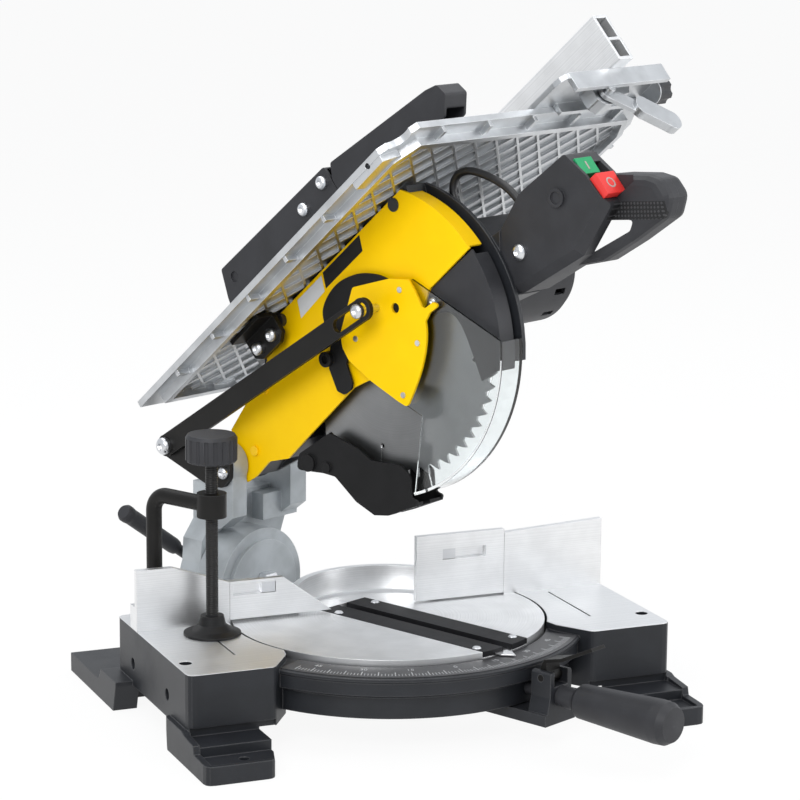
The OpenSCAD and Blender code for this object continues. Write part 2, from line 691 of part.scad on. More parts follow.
module bevel_bolt() color("#9a9da1") in_mitre() translate([0, 0, table_h]) rotate([-90, 0, 0]) {
  translate([0, 0, neck_y + 22]) cylinder(h = 92, r = tilt_r);
  translate([0, 0, trunnion_y - nose_t - 9]) cylinder(h = 9 - play, r = 13, $fn = 6);
}

module link_bracket() color("#1d1e20") in_mitre() difference() {
  side(bracket_x) polygon(rounded([[pivot_y - bracket_r, pivot_z + 8], [pivot_y - bracket_r, pivot_z - 9],
    [pivot_y - 10, pivot_z - bracket_r], [pivot_y + 10, pivot_z - bracket_r], [link_bolt_y + 8, link_bolt_z - 11],
    [link_bolt_y + 11, link_bolt_z + 9], [link_bolt_y - 4, link_bolt_z + 11], [pivot_y - 8, pivot_z + bracket_r]], 7));
  side([bracket_x[0] - past, bracket_x[1] + past]) {
    translate(bracket_screw) circle(bolt_r + fit);
    translate([link_bolt_y, link_bolt_z]) circle(link_bolt_r + fit);
  }
}

module tilt_bolts() color("#c3c6c9") in_mitre() {
  side([left_ear[0] - 5, left_ear[0] + 8]) translate(bracket_screw) circle(bolt_r);
  side([bracket_x[0] - 3, bracket_x[0]]) translate(bracket_screw) circle(5.5);
  side([link_x[0] - play, bracket_x[1]]) translate([link_bolt_y, link_bolt_z]) circle(link_bolt_r);
  side([link_x[0] - play - 4, link_x[0] - play]) translate([link_bolt_y, link_bolt_z]) circle(8);
  translate([61, hub_y + hub_t / 2, 70]) cylinder(h = 22, r = bolt_r);
  translate([61, hub_y + hub_t / 2, 66]) cylinder(h = 8, r = 5, $fn = 6);
}

module pivot_pin() color("#9a9da1") in_mitre() {
  side([left_ear[0], right_ear[1] + 2]) translate([pivot_y, pivot_z]) circle(pivot_r);
  side([right_ear[1], right_ear[1] + 5]) translate([pivot_y, pivot_z]) circle(13, $fn = 6);
}

spring_r = pivot_r + spring_wire + 1;
spring_len = right_ear[0] - barrel[1] - 5;
spring_route = [for (i = [0 : 8 * spring_turns]) let (a = i * 45)
  [spring_len * i / (8 * spring_turns), spring_r * cos(a), spring_r * sin(a)]];
echo(spring_least_gap = min([for (i = [0 : 8 * spring_turns - 5], j = [i + 5 : 8 * spring_turns])
  norm(spring_route[i] - spring_route[j])]) - 2 * spring_wire);

module return_spring() color("#8d9094") in_mitre() translate([barrel[1] + 2.4, pivot_y, pivot_z])
  tube(spring_route, spring_wire, 6, [1, 0, 0]);

module bevel_lever() color("#1d1e20") in_mitre() translate([0, hub_y + hub_t + free, table_h]) rotate([-90, 0, 0]) {
  difference() {
    cylinder(h = 22, r = 15);
    translate([0, 0, -past]) cylinder(h = 30, r = tilt_r + fit);
  }
  translate([0, 0, 12]) rotate([0, 0, 215]) rotate([0, 90, 0]) {
    translate([0, 0, 14]) cylinder(h = 70, r = 5);
    translate([0, 0, 52]) rotate_extrude() polygon([[0, 0], [7, 0], [7.6, 4], [7.6, 68], [8.2, 72], [8.2, 76], [6.5, 79], [0, 79]]);
  }
}

// Head
far_outline = concat(arc(far_r, -43, asin(cover_top / far_r), 14), [[-117, cover_top], [-130, 63], [-183, 47],
  [-212, 40], [-pivot_back, pivot_up + barrel_r - 2], [-pivot_back, pivot_up - barrel_r + 2], [-213, -10], [-167, -20],
  [-132, -30], [-70, -48], [0, -56], [60, -70]]);
web_outline = [[-136, -19], [-136, 60], [-183, 47], [-212, 40], [-pivot_back, pivot_up + barrel_r - 2],
  [-pivot_back, pivot_up - barrel_r + 2], [-213, -10], [-190, -9], [-167, -20]];

module head_casting() color("#2a2b2e") in_head() difference() {
  union() {
    slab(far_x) polygon(far_outline);
    slab([cover_x[1], far_x[0] + past]) polygon(web_outline);
    axle(barrel, barrel_r, [-pivot_back, pivot_up]);
    slab([cover_x[1], far_x[0] + past]) polygon([[-117, cover_top], [-142, 58], [-138, 52], [-112, cover_top - 4],
      [-100, cover_top - 4], [-100, cover_top]]);
    slab([5, far_x[0] + past]) translate([-101, cover_top - 4]) square([203, 4]);
    slab([cover_x[1], far_x[0] + past]) polygon([[97, cover_top], [97, cover_top - 4], [102, cover_top - 4],
      [106, cover_top - 9], [109, cover_top]]);
    slab([far_x[1] - past, case_x[1]]) polygon([[88, -36], [129, -47], [138, -9], [150, 6], [98, 13]]);
    slab([far_x[0], far_x[1] + 0.2]) translate(flap_hinge) circle(9);
    slab([far_x[0], far_x[1]]) polygon([[-154, -36], [-136, -38], [-110, -20], [-160, -12]]);
  }
  axle([barrel[0] - past, barrel[1] + past], pivot_r + fit, [-pivot_back, pivot_up]);
  axle([far_x[0] - past, far_x[1] + past], arbor_r + 2);
  axle([far_x[1] - 3, case_x[1] + past], motor_r + 3, [motor_s, motor_n]);
  axle([far_x[0] - past, far_x[1] + past], flap_pin_r + fit, flap_hinge);
  translate([30, -lead_s, -4]) cylinder(h = 30, r = lead_r + play);
  axle([far_x[0] - past, far_x[1] + past], bolt_r + fit, [-119, 40]);
  slab([-6.5, 9]) translate([-156, 62]) square([60, 30]);
}

module blade_cover() color("#ffd400") in_head() difference() {
  union() {
    slab(cover_x) {
      intersection() {
        circle(cover_r, $fn = 96);
        polygon([[0, 0], [cover_r + past, 2.4], [cover_r + past, cover_top], [0, cover_top]]);
      }
      polygon([[60, 40], [60, cover_top], [-117, cover_top], [-130, 63], [-183, 47], [-212, 40],
        [-227, -8.5], [-213.6, -10.5], [-190, -9], [-167.5, -20], [-145, -19], [-57, -15], [0, -30], [40, -20], [76, 2],
        [76, 30]]);
      circle(34);
    }
    slab([cover_x[0], 7.4]) ring_part(cover_r - cover_t, cover_r, 2, 36);
    axle([guard_x[0] + 0.1, cover_x[1]], boss_r);
  }
  for (q = concat(cover_screw_at, cover_stud_at))
    axle([cover_x[0] - past, cover_x[1] + past], bolt_r / 2 + fit, q);
  axle([cover_x[0] - past, cover_x[1] + past], pivot_r + 2, [-pivot_back, pivot_up]);
}
cover_stud_at = [[-90, cover_top - 5.5], [88, cover_top - 5.5]];
cover_screw_at = [[-150, 45], [-198, 8]];
stud_h = [5, cover_x[0] - guard_x[1] - 0.2];

module guard_nose() color("#2f3033") in_head() {
  slab(nose_x) intersection() {
    circle(nose_r_out, $fn = 96);
    polygon(concat([[nose_r_out + 9, 1], [nose_r_out + 9, -60], [95, -95.5]],
      smooth([[71, -92], [79, -63], [83, -42], [80, -28], [69, -20], [57, -15], [57, 1]], 2)));
  }
  slab([nose_x[0], 9.5]) ring_part(nose_r_out - 3, nose_r_out, -46, -1.5);
}

module head_screws() color("#c3c6c9") in_head() {
  for (q = cover_screw_at) {
    axle([cover_x[0] - 2.4, cover_x[0]], 4.5, q);
    axle([cover_x[0] - 2.4, cover_x[1]], bolt_r / 2, q);
  }
  for (i = [0, 1]) {
    axle([cover_x[0] - stud_h[i], cover_x[0]], 6, cover_stud_at[i]);
    axle([cover_x[0] - stud_h[i] / 2, cover_x[1]], bolt_r / 2, cover_stud_at[i]);
  }
  axle([box_lo - 3, box_lo], 7, handle_bolt_at);
  axle([nose_x[0] - 1.6, nose_x[0]], 3.5, [70, -9]);
}

module gear_case() color("#26272a") in_head() difference() {
  slab(case_x) {
    circle(48, $fn = 96);
    translate([motor_s, motor_n]) circle(motor_r + 2, $fn = 96);
    rotate(atan2(motor_n, motor_s)) translate([0, -44]) square([norm([motor_s, motor_n]), 88]);
  }
  axle([28, 41], 44);
  axle([28, 41], 15, [motor_s, motor_n]);
  axle([case_x[0] - past, 29], 17.5);
  axle([41 - past, 48.2], 13);
  axle([41 - past, case_x[1] + past], 13, [motor_s, motor_n]);
}

module motor_housing() color("#202124") in_head() difference() {
  union() {
    axle([case_x[1], motor_end - 8], motor_r, [motor_s, motor_n]);
    axle([motor_end - 8, motor_end], motor_r - 4, [motor_s, motor_n]);
  }
  axle([case_x[1] - past, motor_end - 12], motor_r - 4, [motor_s, motor_n]);
  axle([motor_end - 13, motor_end - 4], 13, [motor_s, motor_n]);
  for (a = [0 : 30 : 330]) slab([motor_end - 30, motor_end - 16])
    translate([motor_s, motor_n]) rotate(a) translate([motor_r - 6, -3]) square([10, 6]);
}

module stator() color("#6d5a3c") in_head() difference() {
  axle([case_x[1] + 20, motor_end - 54], motor_r - 4, [motor_s, motor_n]);
  axle([case_x[1] + 19, motor_end - 53], 25.5, [motor_s, motor_n]);
}

module armature() color("#7c7f83") in_head() {
  at = [motor_s, motor_n];
  axle([29, motor_end - 5], shaft_r, at);
  axle([case_x[1] + 22, motor_end - 56], 24, at);
  axle([motor_end - 50, motor_end - 36], 14, at);
  slab([29, 39]) translate(at) wheel(pinion_teeth, 8.8, 11.1, 1.1, 0.7, atan2(motor_n, motor_s) + 180);
  slab([motor_end - 29, motor_end - 20]) translate(at) {
    circle(20);
    for (a = [0 : 40 : 320]) rotate(a) translate([12, -1.5]) square([28, 3]);
  }
}

module bearings() color("#a7abb0") in_head() {
  at = [motor_s, motor_n];
  ring_bearing([case_x[0], 27], arbor_r, 17.5, [0, 0]);
  ring_bearing([42, 48], arbor_tail_r, 13, [0, 0]);
  ring_bearing([42, 49], shaft_r, 13, at);
  ring_bearing([motor_end - 12, motor_end - 5], shaft_r, 13, at);
}
module ring_bearing(x, r_in, r_out, at) difference() {
  axle(x, r_out, at);
  axle([x[0] - past, x[1] + past], r_in + fit, at);
}

box_corner = [[129, -47], [205, -60], [256, -44], [254, -12], [247, 15], [186, 18], [150, 6], [138, -9]];
module handle_outline_box() polygon(rounded(box_corner, 4));

// Cut that bevels the switch box along its lower edge from a to b.
module bevel(a, b, w, d) translate([box_lo, -a.x, a.y]) rotate([atan2(b.y - a.y, a.x - b.x), 0, 0])
  translate([0, norm(b - a) + 2, 0]) rotate([90, 0, 0]) linear_extrude(norm(b - a) + 4)
    polygon([[-past, -d - past], [w + past, past], [-past, past]]);
grip_outline = [[160, -46], [205, -69], [242, -75], [282, -79], [298, -68], [298, -50], [290, -40], [266, -22],
  [244, -8], [190, -8]];
gap_outline = rounded([[172, -44], [202, -58], [248, -67], [257, -62], [220, -36], [178, -29]], 5);

module handle_body() difference() {
  union() {
    difference() {
      slab([box_lo, split_x + 2]) handle_outline_box();
      bevel(box_corner[0], box_corner[1], 7, 8);
      bevel(box_corner[1], box_corner[2], 7, 8);
    }
    axle([box_lo - 3, box_lo + past], 8, [218, -9]);
    pebble(grip_outline, [split_x - grip_half, split_x + grip_half], 9);
  }
  slab([split_x - grip_half - past, split_x + grip_half + past]) polygon(gap_outline);
  slab([box_lo + shell_t, split_x - shell_t]) polygon([[190, 2], [190, -26], [258, -26], [258, 2]]);
  slab([22 - play, 44 + play]) translate([239.5, -9 - play]) square([40, 16 + 2 * play]);
  slab([21 - play, 45 + play]) translate([237, -37 - play]) square([40, 21 + 2 * play]);
  translate([30, -lead_s - 56, 4]) cylinder(h = 40, r = lead_r + play);
  axle([box_lo - past, box_lo + 8], bolt_r + fit, handle_bolt_at);
  axle([box_lo - 3 - past, box_lo - 1.5], 5.5, [218, -9]);
}

module handle_left() color("#1f2022") in_head() intersection() {
  handle_body();
  translate([0, -400, -200]) cube([split_x, 400, 400]);
}

module handle_right() color("#1f2022") in_head() intersection() {
  handle_body();
  translate([split_x, -400, -200]) cube([100, 400, 400]);
}

module start_button() color("#1f9a4d") in_head() slab([22, 44]) translate([242, -9]) square([9, 16]);
module stop_button() color("#e0342c") in_head() slab([21, 45]) translate([242, -37]) square([20, 21]);

lead_route = [[0, 2], [0, 25], [-2, 50], [2, 68], [14, 75], [28, 70], [42, 54], [52, 36], [56, 20], [56, 8]];
module switch_lead() color("#141517") in_head()
  tube(smooth([for (q = lead_route) [30, -lead_s - q[0], q[1]]], 3), lead_r, 10, [1, 0, 0]);

module table_bracket() color("#2a2b2e") in_head() difference() {
  slab([far_x[1], 66]) polygon(rounded([[-140, 24], [-97, 24], [-97, cover_top - 4], [-140, cover_top - 4]], 5));
  for (x = column_x) translate([x, 118, 0]) cylinder(h = 200, r = column_r + fit);
  axle([far_x[1] - past, far_x[1] + 12], bolt_r + fit, [-119, 40]);
}
column_x = [31, 53];

// Blade
module saw_blade() color("#c9ccce") in_head() slab([-blade_t / 2, blade_t / 2]) difference() {
  polygon([for (i = [0 : teeth - 1]) let (p = 360 / teeth)
    each [polar(blade_r - 7, (i - 0.88) * p), polar(blade_r - 8, (i - 0.62) * p), polar(blade_r - 2.5, (i - 0.22) * p),
      polar(blade_r, i * p)]]);
  circle(bore_r);
  for (a = [45 : 90 : 315]) rotate(a) {
    translate([blade_r - 26, -0.6]) square([30, 1.2]);
    translate([blade_r - 26, 0]) circle(2.2);
  }
}

module arbor() color("#8d9094") in_head() {
  axle([-flange_x, 41], arbor_r);
  axle([41, 48], arbor_tail_r);
  slab([-flange_x - 3.6, -flange_x]) circle(8.5, $fn = 6);
}

module blade_flanges() color("#a7abb0") in_head() {
  for (x = [[-flange_x, -blade_t / 2], [blade_t / 2, flange_x]]) difference() {
    axle(x, flange_r);
    axle([x[0] - past, x[1] + past], arbor_r);
  }
  difference() {
    axle([-blade_t / 2, blade_t / 2], bore_r);
    axle([-blade_t, blade_t], arbor_r);
  }
}

module arbor_gear() color("#8d9094") in_head() slab([29, 39]) difference() {
  wheel(gear_teeth, 39.2, 41.9, 1.2, 0.7, atan2(motor_n, motor_s) + 180 / gear_teeth);
  circle(arbor_r);
}

// Swinging guards
module lower_guard() color("#cfe0e6", 0.35) in_head() {
  slab(guard_x) difference() {
    polygon(concat([[66, 18]], arc(guard_r, lead_angle, trail_angle, 14),
      [[-2, -80], [-22, -42], [-34, 0], [-22, 30], [12, 42]]));
    circle(boss_r + fit);
  }
  slab([guard_x[0], guard_far_x[1]]) ring_part(guard_r - guard_t - 0.2, guard_r, trail_angle, lead_angle);
  slab(guard_far_x) ring_part(guard_r - 28, guard_r, trail_angle, lead_angle);
}

hub_crown = smooth([[46, 31], [39, 41], [29, 50], [18, 57], [4, 62], [-8, 64], [-20, 63], [-30, 60], [-38, 55],
  [-43, 46], [-48, 29]], 3);
hub_leg = rounded([[-48, 29], [-57, 20], [-65, 12], [-70, -9], [-65, -16], [-55, -17], [-50, -13], [-45, 4],
  [-32, 10], [-14, -14], [0, -24], [20, -24], [46, 8]], 3);
module guard_hub() color("#1d1e20") in_head() difference() {
  union() {
    slab(hubplate_x) polygon(concat([for (i = [0 : len(hub_crown) - 2]) hub_crown[i]], hub_leg));
    axle([hubplate_x[0] - 5, hubplate_x[1]], 7, leg_boss);
  }
  axle([hubplate_x[0] - past, hubplate_x[1] + past], pin_r + fit, pin_at);
  axle([hubplate_x[0] - 5 - past, hubplate_x[0] - 2], 4, leg_boss);
}

sector_bow = smooth([[66.5, 18], [66, 6], [63.5, -10], [58, -23], [49.5, -34], [37, -44.5], [23.5, -53], [9, -60]], 3);
sector_rest = rounded([[9, -60], [-7, -66.5], [-12.5, -57], [-29, -23], [-38, 3], [-37, 16], [-31, 27],
  [8, 50], [48, 31.5], [66.5, 18]], 4);
module guard_sector() color("#ffd400") in_head() difference() {
  slab(sector_x) {
    polygon(concat(sector_bow, [for (i = [4 : len(sector_rest) - 5]) sector_rest[i]]));
    polygon(rounded([[60, -4], [66, -12], [77, -13], [80, -17], [78, -19], [68, -18], [56, -22]], 1.5));
  }
  axle([sector_x[0] - past, sector_x[1] + past], pin_r + fit, pin_at);
  axle([sector_x[0] - past, sector_x[1] + past], 4.5, [38, 7.5]);
}

module guard_pin() color("#c3c6c9") in_head() {
  axle([link_x[0] - free, hubplate_x[1]], pin_r, pin_at);
  axle([link_x[0] - free - 4, link_x[0] - free], 6.5, pin_at);
  for (q = sector_screw_at) axle([sector_x[0] - 1.2, sector_x[0]], 2.6, q);
}

module guard_link() color("#1d1e20") in_head() slab(link_x) {
  a = in_head_plane(link_bolt_y, link_bolt_z);
  u = unit(pin_at - a);
  difference() {
    bar(a, pin_at + u * 2.5, link_w);
    translate(a) circle(link_bolt_r + fit);
    bar(pin_at - u * 30, pin_at + u * 2.5, 2 * (pin_r + slot_clear));
  }
}

flap_outline = [[-106, -31], [-150, -25], [-163, -34], [-136, -55], [-126, -65], [-119, -96], [-108, -117],
  [-94, -126], [-60, -137], [-56, -134], [-61, -128], [-49, -112], [-53, -99], [-80, -77], [-86, -61]];
module rear_flap() color("#1d1e20") in_head() difference() {
  union() {
    slab([-13.8, -11.4]) polygon(rounded(flap_outline, 5));
    slab([19.2, 21.6]) polygon(rounded(flap_outline, 5));
    axle([-16.5, -11.4], 8, flap_hinge);
    axle([-16, -11.4], 5, flap_hinge + [16, -15]);
    slab([-13.8, 21.6]) polygon([[-136, -55], [-126, -65], [-119, -96], [-108, -117], [-94, -126],
      [-60, -137], [-58.5, -134.5], [-93, -123.5], [-106, -115], [-116.5, -95], [-123.5, -64], [-134, -53]]);
    axle([far_x[0] - 2, 19.2 + past], flap_pin_r, flap_hinge);
  }
  slab([-4.5, 4.5]) polygon([[-124, -60], [-130, -70], [-118, -130], [-60, -145], [-50, -120], [-100, -100]]);
}

// Upper table
table_left = -80;
table_right = 262;
table_rear = 232;
table_front = -192;
table_plan = [[table_left, table_rear], [table_left, table_front + 35], [table_left + 21, table_front],
  [table_right - 22, table_front], [table_right, table_front + 35], [table_right, table_rear]];
saddle_r = 14;
saddle_at = [table_left + 4, table_front + 13];
module flat(n) translate([0, 0, n[0]]) linear_extrude(n[1] - n[0]) children();
module skirt_plan(d) polygon(inset(table_plan, d));

module upper_table() color("#cfd2d3") in_head() difference() {
  union() {
    flat([upper_n - upper_t, upper_n]) polygon(table_plan);
    difference() {
      flat([cover_top - 4, upper_n - past]) skirt_plan(skirt_in);
      flat([cover_top - 5, upper_n - upper_t]) skirt_plan(skirt_in + 6);
    }
    difference() {
      flat([upper_n - upper_t - rib_h, upper_n - past]) skirt_plan(skirt_in + past);
      flat([upper_n - upper_t - rib_h - past, upper_n - upper_t]) rib_pockets();
    }
    for (x = column_x) translate([x, 118, upper_n - upper_t - rib_h]) cylinder(h = upper_t, r = column_r + 5);
    translate([2, 120, 68]) cube([6, 30, upper_n - 70]);
    flat([cover_top - 2, upper_n - past]) polygon([[table_left + 1, table_front + 36], [table_left + 18, table_front + 30],
      [table_left + 18, table_front + 76], [table_left + 1, table_front + 76]]);
    for (x = [-30 : 60 : 210]) translate([x, -190, upper_n - upper_t - 5]) cube([4, 14, 6]);
    for (y = [-130 : 60 : 170]) translate([-78, y, upper_n - upper_t - 5]) cube([14, 4, 6]);
    for (y = [-130 : 60 : 170]) translate([246, y, upper_n - upper_t - 5]) cube([14, 4, 6]);
  }
  flat([cover_top - 10, upper_n + past]) translate([-5, -blade_r + 18]) square([10, 2 * blade_r - 26]);
  flat([upper_n - upper_t - rib_h - past, upper_n + past]) translate([-2, 90]) square([4, 66]);
  for (q = knife_bolt_at) axle([-20, 20], bolt_r + fit, q);
  translate([saddle_at.x, saddle_at.y, cover_top - 10]) cylinder(h = 30, r = saddle_r);
  axle([table_left - past, table_left + 14], 2.6, [-table_front - 52, upper_n - 5]);
}
knife_bolt_at = [[-128, 76], [-142, 76]];
module rib_pockets() {
  k = rib_pitch / sqrt(2);
  for (i = [-36 : 36], j = [-36 : 36])
    if (abs(i + j) * k < 150 && abs(i - j) * k < 186) translate([91 + (i + j) * k, 20 + (i - j) * k]) rotate(45)
      square(rib_pitch - rib_w, center = true);
}

module table_columns() color("#b9bcc0") in_head() for (x = column_x)
  translate([x, 118, 28]) cylinder(h = upper_n - upper_t - rib_h - 28, r = column_r);

module riving_knife() color("#b9bcc0") in_head() slab([-1.1, 1.1]) difference() {
  polygon(rounded([[-150, 68], [-120, 68], [0, 100], [43, 126], [43, 147], [-100, 151], [-117, 140], [-129, 106],
    [-130, 94], [-150, 86]], 3));
  circle(blade_r + 4.5, $fn = 96);
  for (q = concat(knife_bolt_at, shell_bolt_at)) translate(q) circle(bolt_r + fit);
}
shell_bolt_at = [[35, 143], [1.5, 138]];
hood_pin = shell_bolt_at[0];

shell_outline = [[45, 97.5], [45, 153], [-121, 158], [-131, 133], [-138, 104], [-136, 97.5]];
module upper_guard() color("#232427") in_head() difference() {
  slab([-14, 14]) polygon(rounded(shell_outline, 3));
  slab([-11.5, 11.5]) polygon([[46, 96], [46, 150.5], [-119, 155], [-128.5, 132], [-135, 104], [-134, 96]]);
  for (q = shell_bolt_at) axle([-20, 20], bolt_r + fit, q);
  axle([-15, -12.5], 5, [-111, 143]);
}

module guard_hood() color("#232427") in_head() {
  difference() {
    slab([-14, 14]) polygon(rounded([[46, 97.5], [186, 102.2], [199, 116], [196, 128], [183, 132], [53.5, 151], [46, 138]], 3));
    slab([-11.5, 11.5]) polygon([[45, 96], [185, 98], [196, 116], [193.5, 126], [182, 129.5], [45, 149.5]]);
  }
  pair() difference() {
    union() {
      slab([8.2, 11.2]) bar(hood_pin, hood_pin + [18, -9], 9.6);
      slab([8.2, 12.5]) translate(hood_pin + [18, -9]) circle(4);
    }
    axle([7, 12], bolt_r + fit, hood_pin);
  }
}

module table_hanger() color("#1d1e20") in_head() {
  slab([-26, -21]) polygon(rounded([[-128, 66], [-120, 60], [-92, 60], [-84, 66], [-84, upper_n - upper_t - rib_h],
    [-128, upper_n - upper_t - rib_h]], 3));
  translate([-44, 84, upper_n - upper_t - rib_h - 4]) cube([20, 44, 4]);
}

module table_bolts() color("#c3c6c9") in_head() {
  for (q = [[-117, 70], [-95, 70]]) axle([-30, -26], 6, q);
  for (q = knife_bolt_at) {
    axle([-1.1, 8], bolt_r, q);
    axle([-5, -1.1], 5, q);
  }
  for (q = shell_bolt_at) {
    axle([-14, 14], bolt_r, q);
    axle([-17, -14], 6, q);
    axle([14, 17], 6, q);
  }
}

// Rip fence
module rip_fence() color("#d6d9da") in_head() translate([0, -249, 0]) front([0, 439]) difference() {
  polygon(rounded([[163, 101], [183, 101], [183, 149], [163, 149]], 1.5));
  translate([166, 104]) square([14, 18]);
  translate([166, 125]) square([14, 21]);
  translate([182, 131]) square([4, 8]);
}

module rip_bracket() color("#c3c6c9") in_head() {
  flat([upper_n, 101]) polygon(rounded([[95, -176], [95, -236], [245, -236], [245, -176]], 14));
  front([-236, -231]) polygon([[104, 84], [236, 84], [236, 101], [104, 101]]);
  front([-197, -192 - play]) polygon([[120, 86], [220, 86], [220, 101], [120, 101]]);
  front([-221, -206]) polygon(rounded([[143, 97], [143, 80], [150, 74], [160, 74], [167, 80], [167, 97]], 3));
  front([-217, -210]) polygon([[167 - past, 97], [167 - past, 82], [196, 86], [206, 97]]);
  front([-232, -220]) translate(rip_pivot) circle(rip_pin_r);
  translate([245 - past, -205, 92]) rotate([0, 90, 0]) difference() {
    cylinder(h = 18, r = 12);
    for (a = [0 : 60 : 300]) rotate([0, 0, a]) translate([16, 0, 5]) cylinder(h = 20, r = 6);
  }
}
rip_pivot = [155, 84];
rip_pin_r = 4;

module rip_lever() color("#b4b9bc") in_head() difference() {
  union() {
    front([-226, -222]) bar(rip_pivot, [186, 63], 14);
    front([-230.6, -222]) bar([186, 63], [212, 45], 19);
  }
  front([-240, -200]) translate(rip_pivot) circle(rip_pin_r + fit);
}

// Work clamp
clamp_to = [-165, 0];
module in_clamp() translate([-socket_x, socket_y, 0])
  rotate([0, 0, atan2(clamp_to.y - socket_y, clamp_to.x + socket_x)]) children();
clamp_reach = norm(clamp_to - [-socket_x, socket_y]);

module clamp_arm() color("#26272a") in_clamp() difference() {
  bend = 2.2 * post_r;
  union() {
    translate([0, 0, arch_z + 10]) cylinder(h = clamp_z - bend - arch_z - 10, r = post_r);
    translate([bend, 0, clamp_z - bend]) rotate([90, 0, 0]) rotate([0, 0, 90]) rotate_extrude(angle = 90)
      translate([bend, 0]) circle(post_r);
    translate([bend, 0, clamp_z]) rotate([0, 90, 0]) cylinder(h = clamp_reach - bend, r = post_r);
    translate([clamp_reach, 0, clamp_z - 10]) cylinder(h = 21, r = screw_r + 8);
  }
  translate([clamp_reach, 0, clamp_z - 40]) cylinder(h = 80, r = screw_r + fit);
}

module clamp_screw() color("#1d1e20") translate([clamp_to.x, clamp_to.y, 0]) {
  translate([0, 0, table_h + 5]) cylinder(h = 152, r = screw_r);
  difference() {
    translate([0, 0, table_h + 154]) rotate_extrude()
      polygon([[0, 0], [knob_r - 1.5, 0], [knob_r, 2], [knob_r, 21], [knob_r - 2, 24], [0, 24]]);
    for (a = [0 : 20 : 340]) rotate([0, 0, a]) translate([knob_r + 1.2, 0, table_h + 153]) cylinder(h = 22, r = 2.4, $fn = 16);
  }
}

module clamp_foot() color("#1d1e20") translate([clamp_to.x, clamp_to.y, table_h]) difference() {
  rotate_extrude() polygon([[0, 0], [foot_r, 0], [foot_r, 2], [foot_r - 7, 4.5], [12, 9], [10, 17], [0, 17]]);
  translate([0, 0, 5 - play]) cylinder(h = 20, r = screw_r + fit);
}

base_casting();
mitre_scale();
fence();
fence_bolts();
turntable_bolt();
turntable();
trunnion();
mitre_arm();
kerf_inserts();
turntable_screws();
mitre_pointer();
detent_lever();
mitre_grip();
tilt_arm();
bevel_bolt();
link_bracket();
tilt_bolts();
pivot_pin();
return_spring();
bevel_lever();
head_casting();
blade_cover();
guard_nose();
head_screws();
gear_case();
motor_housing();
stator();
handle_left();
handle_right();
switch_lead();
table_bracket();
bearings();
saw_blade();
arbor();
blade_flanges();
arbor_gear();
armature();
lower_guard();
guard_hub();
guard_sector();
guard_pin();
guard_link();
rear_flap();
start_button();
stop_button();
upper_table();
table_columns();
riving_knife();
upper_guard();
table_hanger();
table_bolts();
guard_hood();
rip_fence();
rip_bracket();
rip_lever();
left_slide();
right_slide();
clamp_arm();
clamp_screw();
clamp_foot();
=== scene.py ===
# %% [markdown]
# # A combination mitre saw
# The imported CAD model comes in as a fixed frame: sixty named pieces of a mitre saw whose head also carries
# a small saw table. All but two of them keep their meshes. This lesson gives each piece its finish, adds the
# small things that a CAD source leaves out, and sets the camera where the photograph was taken.

# %% Load the frame
import bpy
import math
import numpy as np
from mathutils import Matrix, Vector


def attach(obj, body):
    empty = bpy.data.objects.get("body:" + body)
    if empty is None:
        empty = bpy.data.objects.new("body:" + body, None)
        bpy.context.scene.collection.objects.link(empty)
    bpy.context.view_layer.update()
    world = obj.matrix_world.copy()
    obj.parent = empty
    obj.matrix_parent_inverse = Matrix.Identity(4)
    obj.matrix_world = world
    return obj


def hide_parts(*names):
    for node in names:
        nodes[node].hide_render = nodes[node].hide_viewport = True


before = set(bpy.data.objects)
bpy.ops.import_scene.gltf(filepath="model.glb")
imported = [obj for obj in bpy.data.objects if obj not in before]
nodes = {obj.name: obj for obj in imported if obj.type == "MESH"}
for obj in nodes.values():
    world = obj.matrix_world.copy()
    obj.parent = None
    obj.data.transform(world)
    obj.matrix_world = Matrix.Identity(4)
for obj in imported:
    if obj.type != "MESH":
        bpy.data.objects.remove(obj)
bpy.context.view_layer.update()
MM = 0.001
print("pieces in the frame:", len(nodes))

# %% [markdown]
# ## The camera
# A product photograph like this one is taken from a few metres away with a long lens, so that the base
# does not spread. The angles, the distance and the lens below put the four feet, the turntable and the
# table's corners where the photograph has them.

# %% Camera
AZIMUTH, ELEVATION, ROLL = math.radians(-22.67), math.radians(11.62), math.radians(0.46)
DISTANCE, FOCAL_PX, PICTURE_PX = 2565.36, 2901.93, 800
SHIFT_RIGHT, SHIFT_UP, TARGET_Z = 10.14, 70.48, 200.0
SENSOR_MM, SEES_AS_FAR_AS = 36.0, 50

back = np.array([math.sin(AZIMUTH) * math.cos(ELEVATION),
                 -math.cos(AZIMUTH) * math.cos(ELEVATION), math.sin(ELEVATION)])
right = np.array([math.cos(AZIMUTH), math.sin(AZIMUTH), 0.0])
up = np.cross(back, right)
right, up = (right * math.cos(ROLL) + up * math.sin(ROLL), up * math.cos(ROLL) - right * math.sin(ROLL))
target = right * SHIFT_RIGHT + up * SHIFT_UP + np.array([0, 0, TARGET_Z])
eye = (target + back * DISTANCE) * MM

camera_data = bpy.data.cameras.new("camera")
camera_data.sensor_width = SENSOR_MM
camera_data.lens = FOCAL_PX / PICTURE_PX * SENSOR_MM
camera_data.clip_end = SEES_AS_FAR_AS
camera = bpy.data.objects.new("camera", camera_data)
camera.matrix_world = Matrix([[*map(float, (right[i], up[i], back[i], eye[i]))] for i in range(3)]
                             + [[0, 0, 0, 1]])
bpy.context.scene.collection.objects.link(camera)
bpy.context.scene.camera = camera
print("lens", round(camera_data.lens, 1), "mm, eye at", eye.round(3))

# %% [markdown]
# ## Node helpers
# A finish in Blender is a network of nodes. Each node can be made and wired by hand, in four or five lines.
# The helpers here make the kinds that come back all the time, so that the finishes below read as formulas.


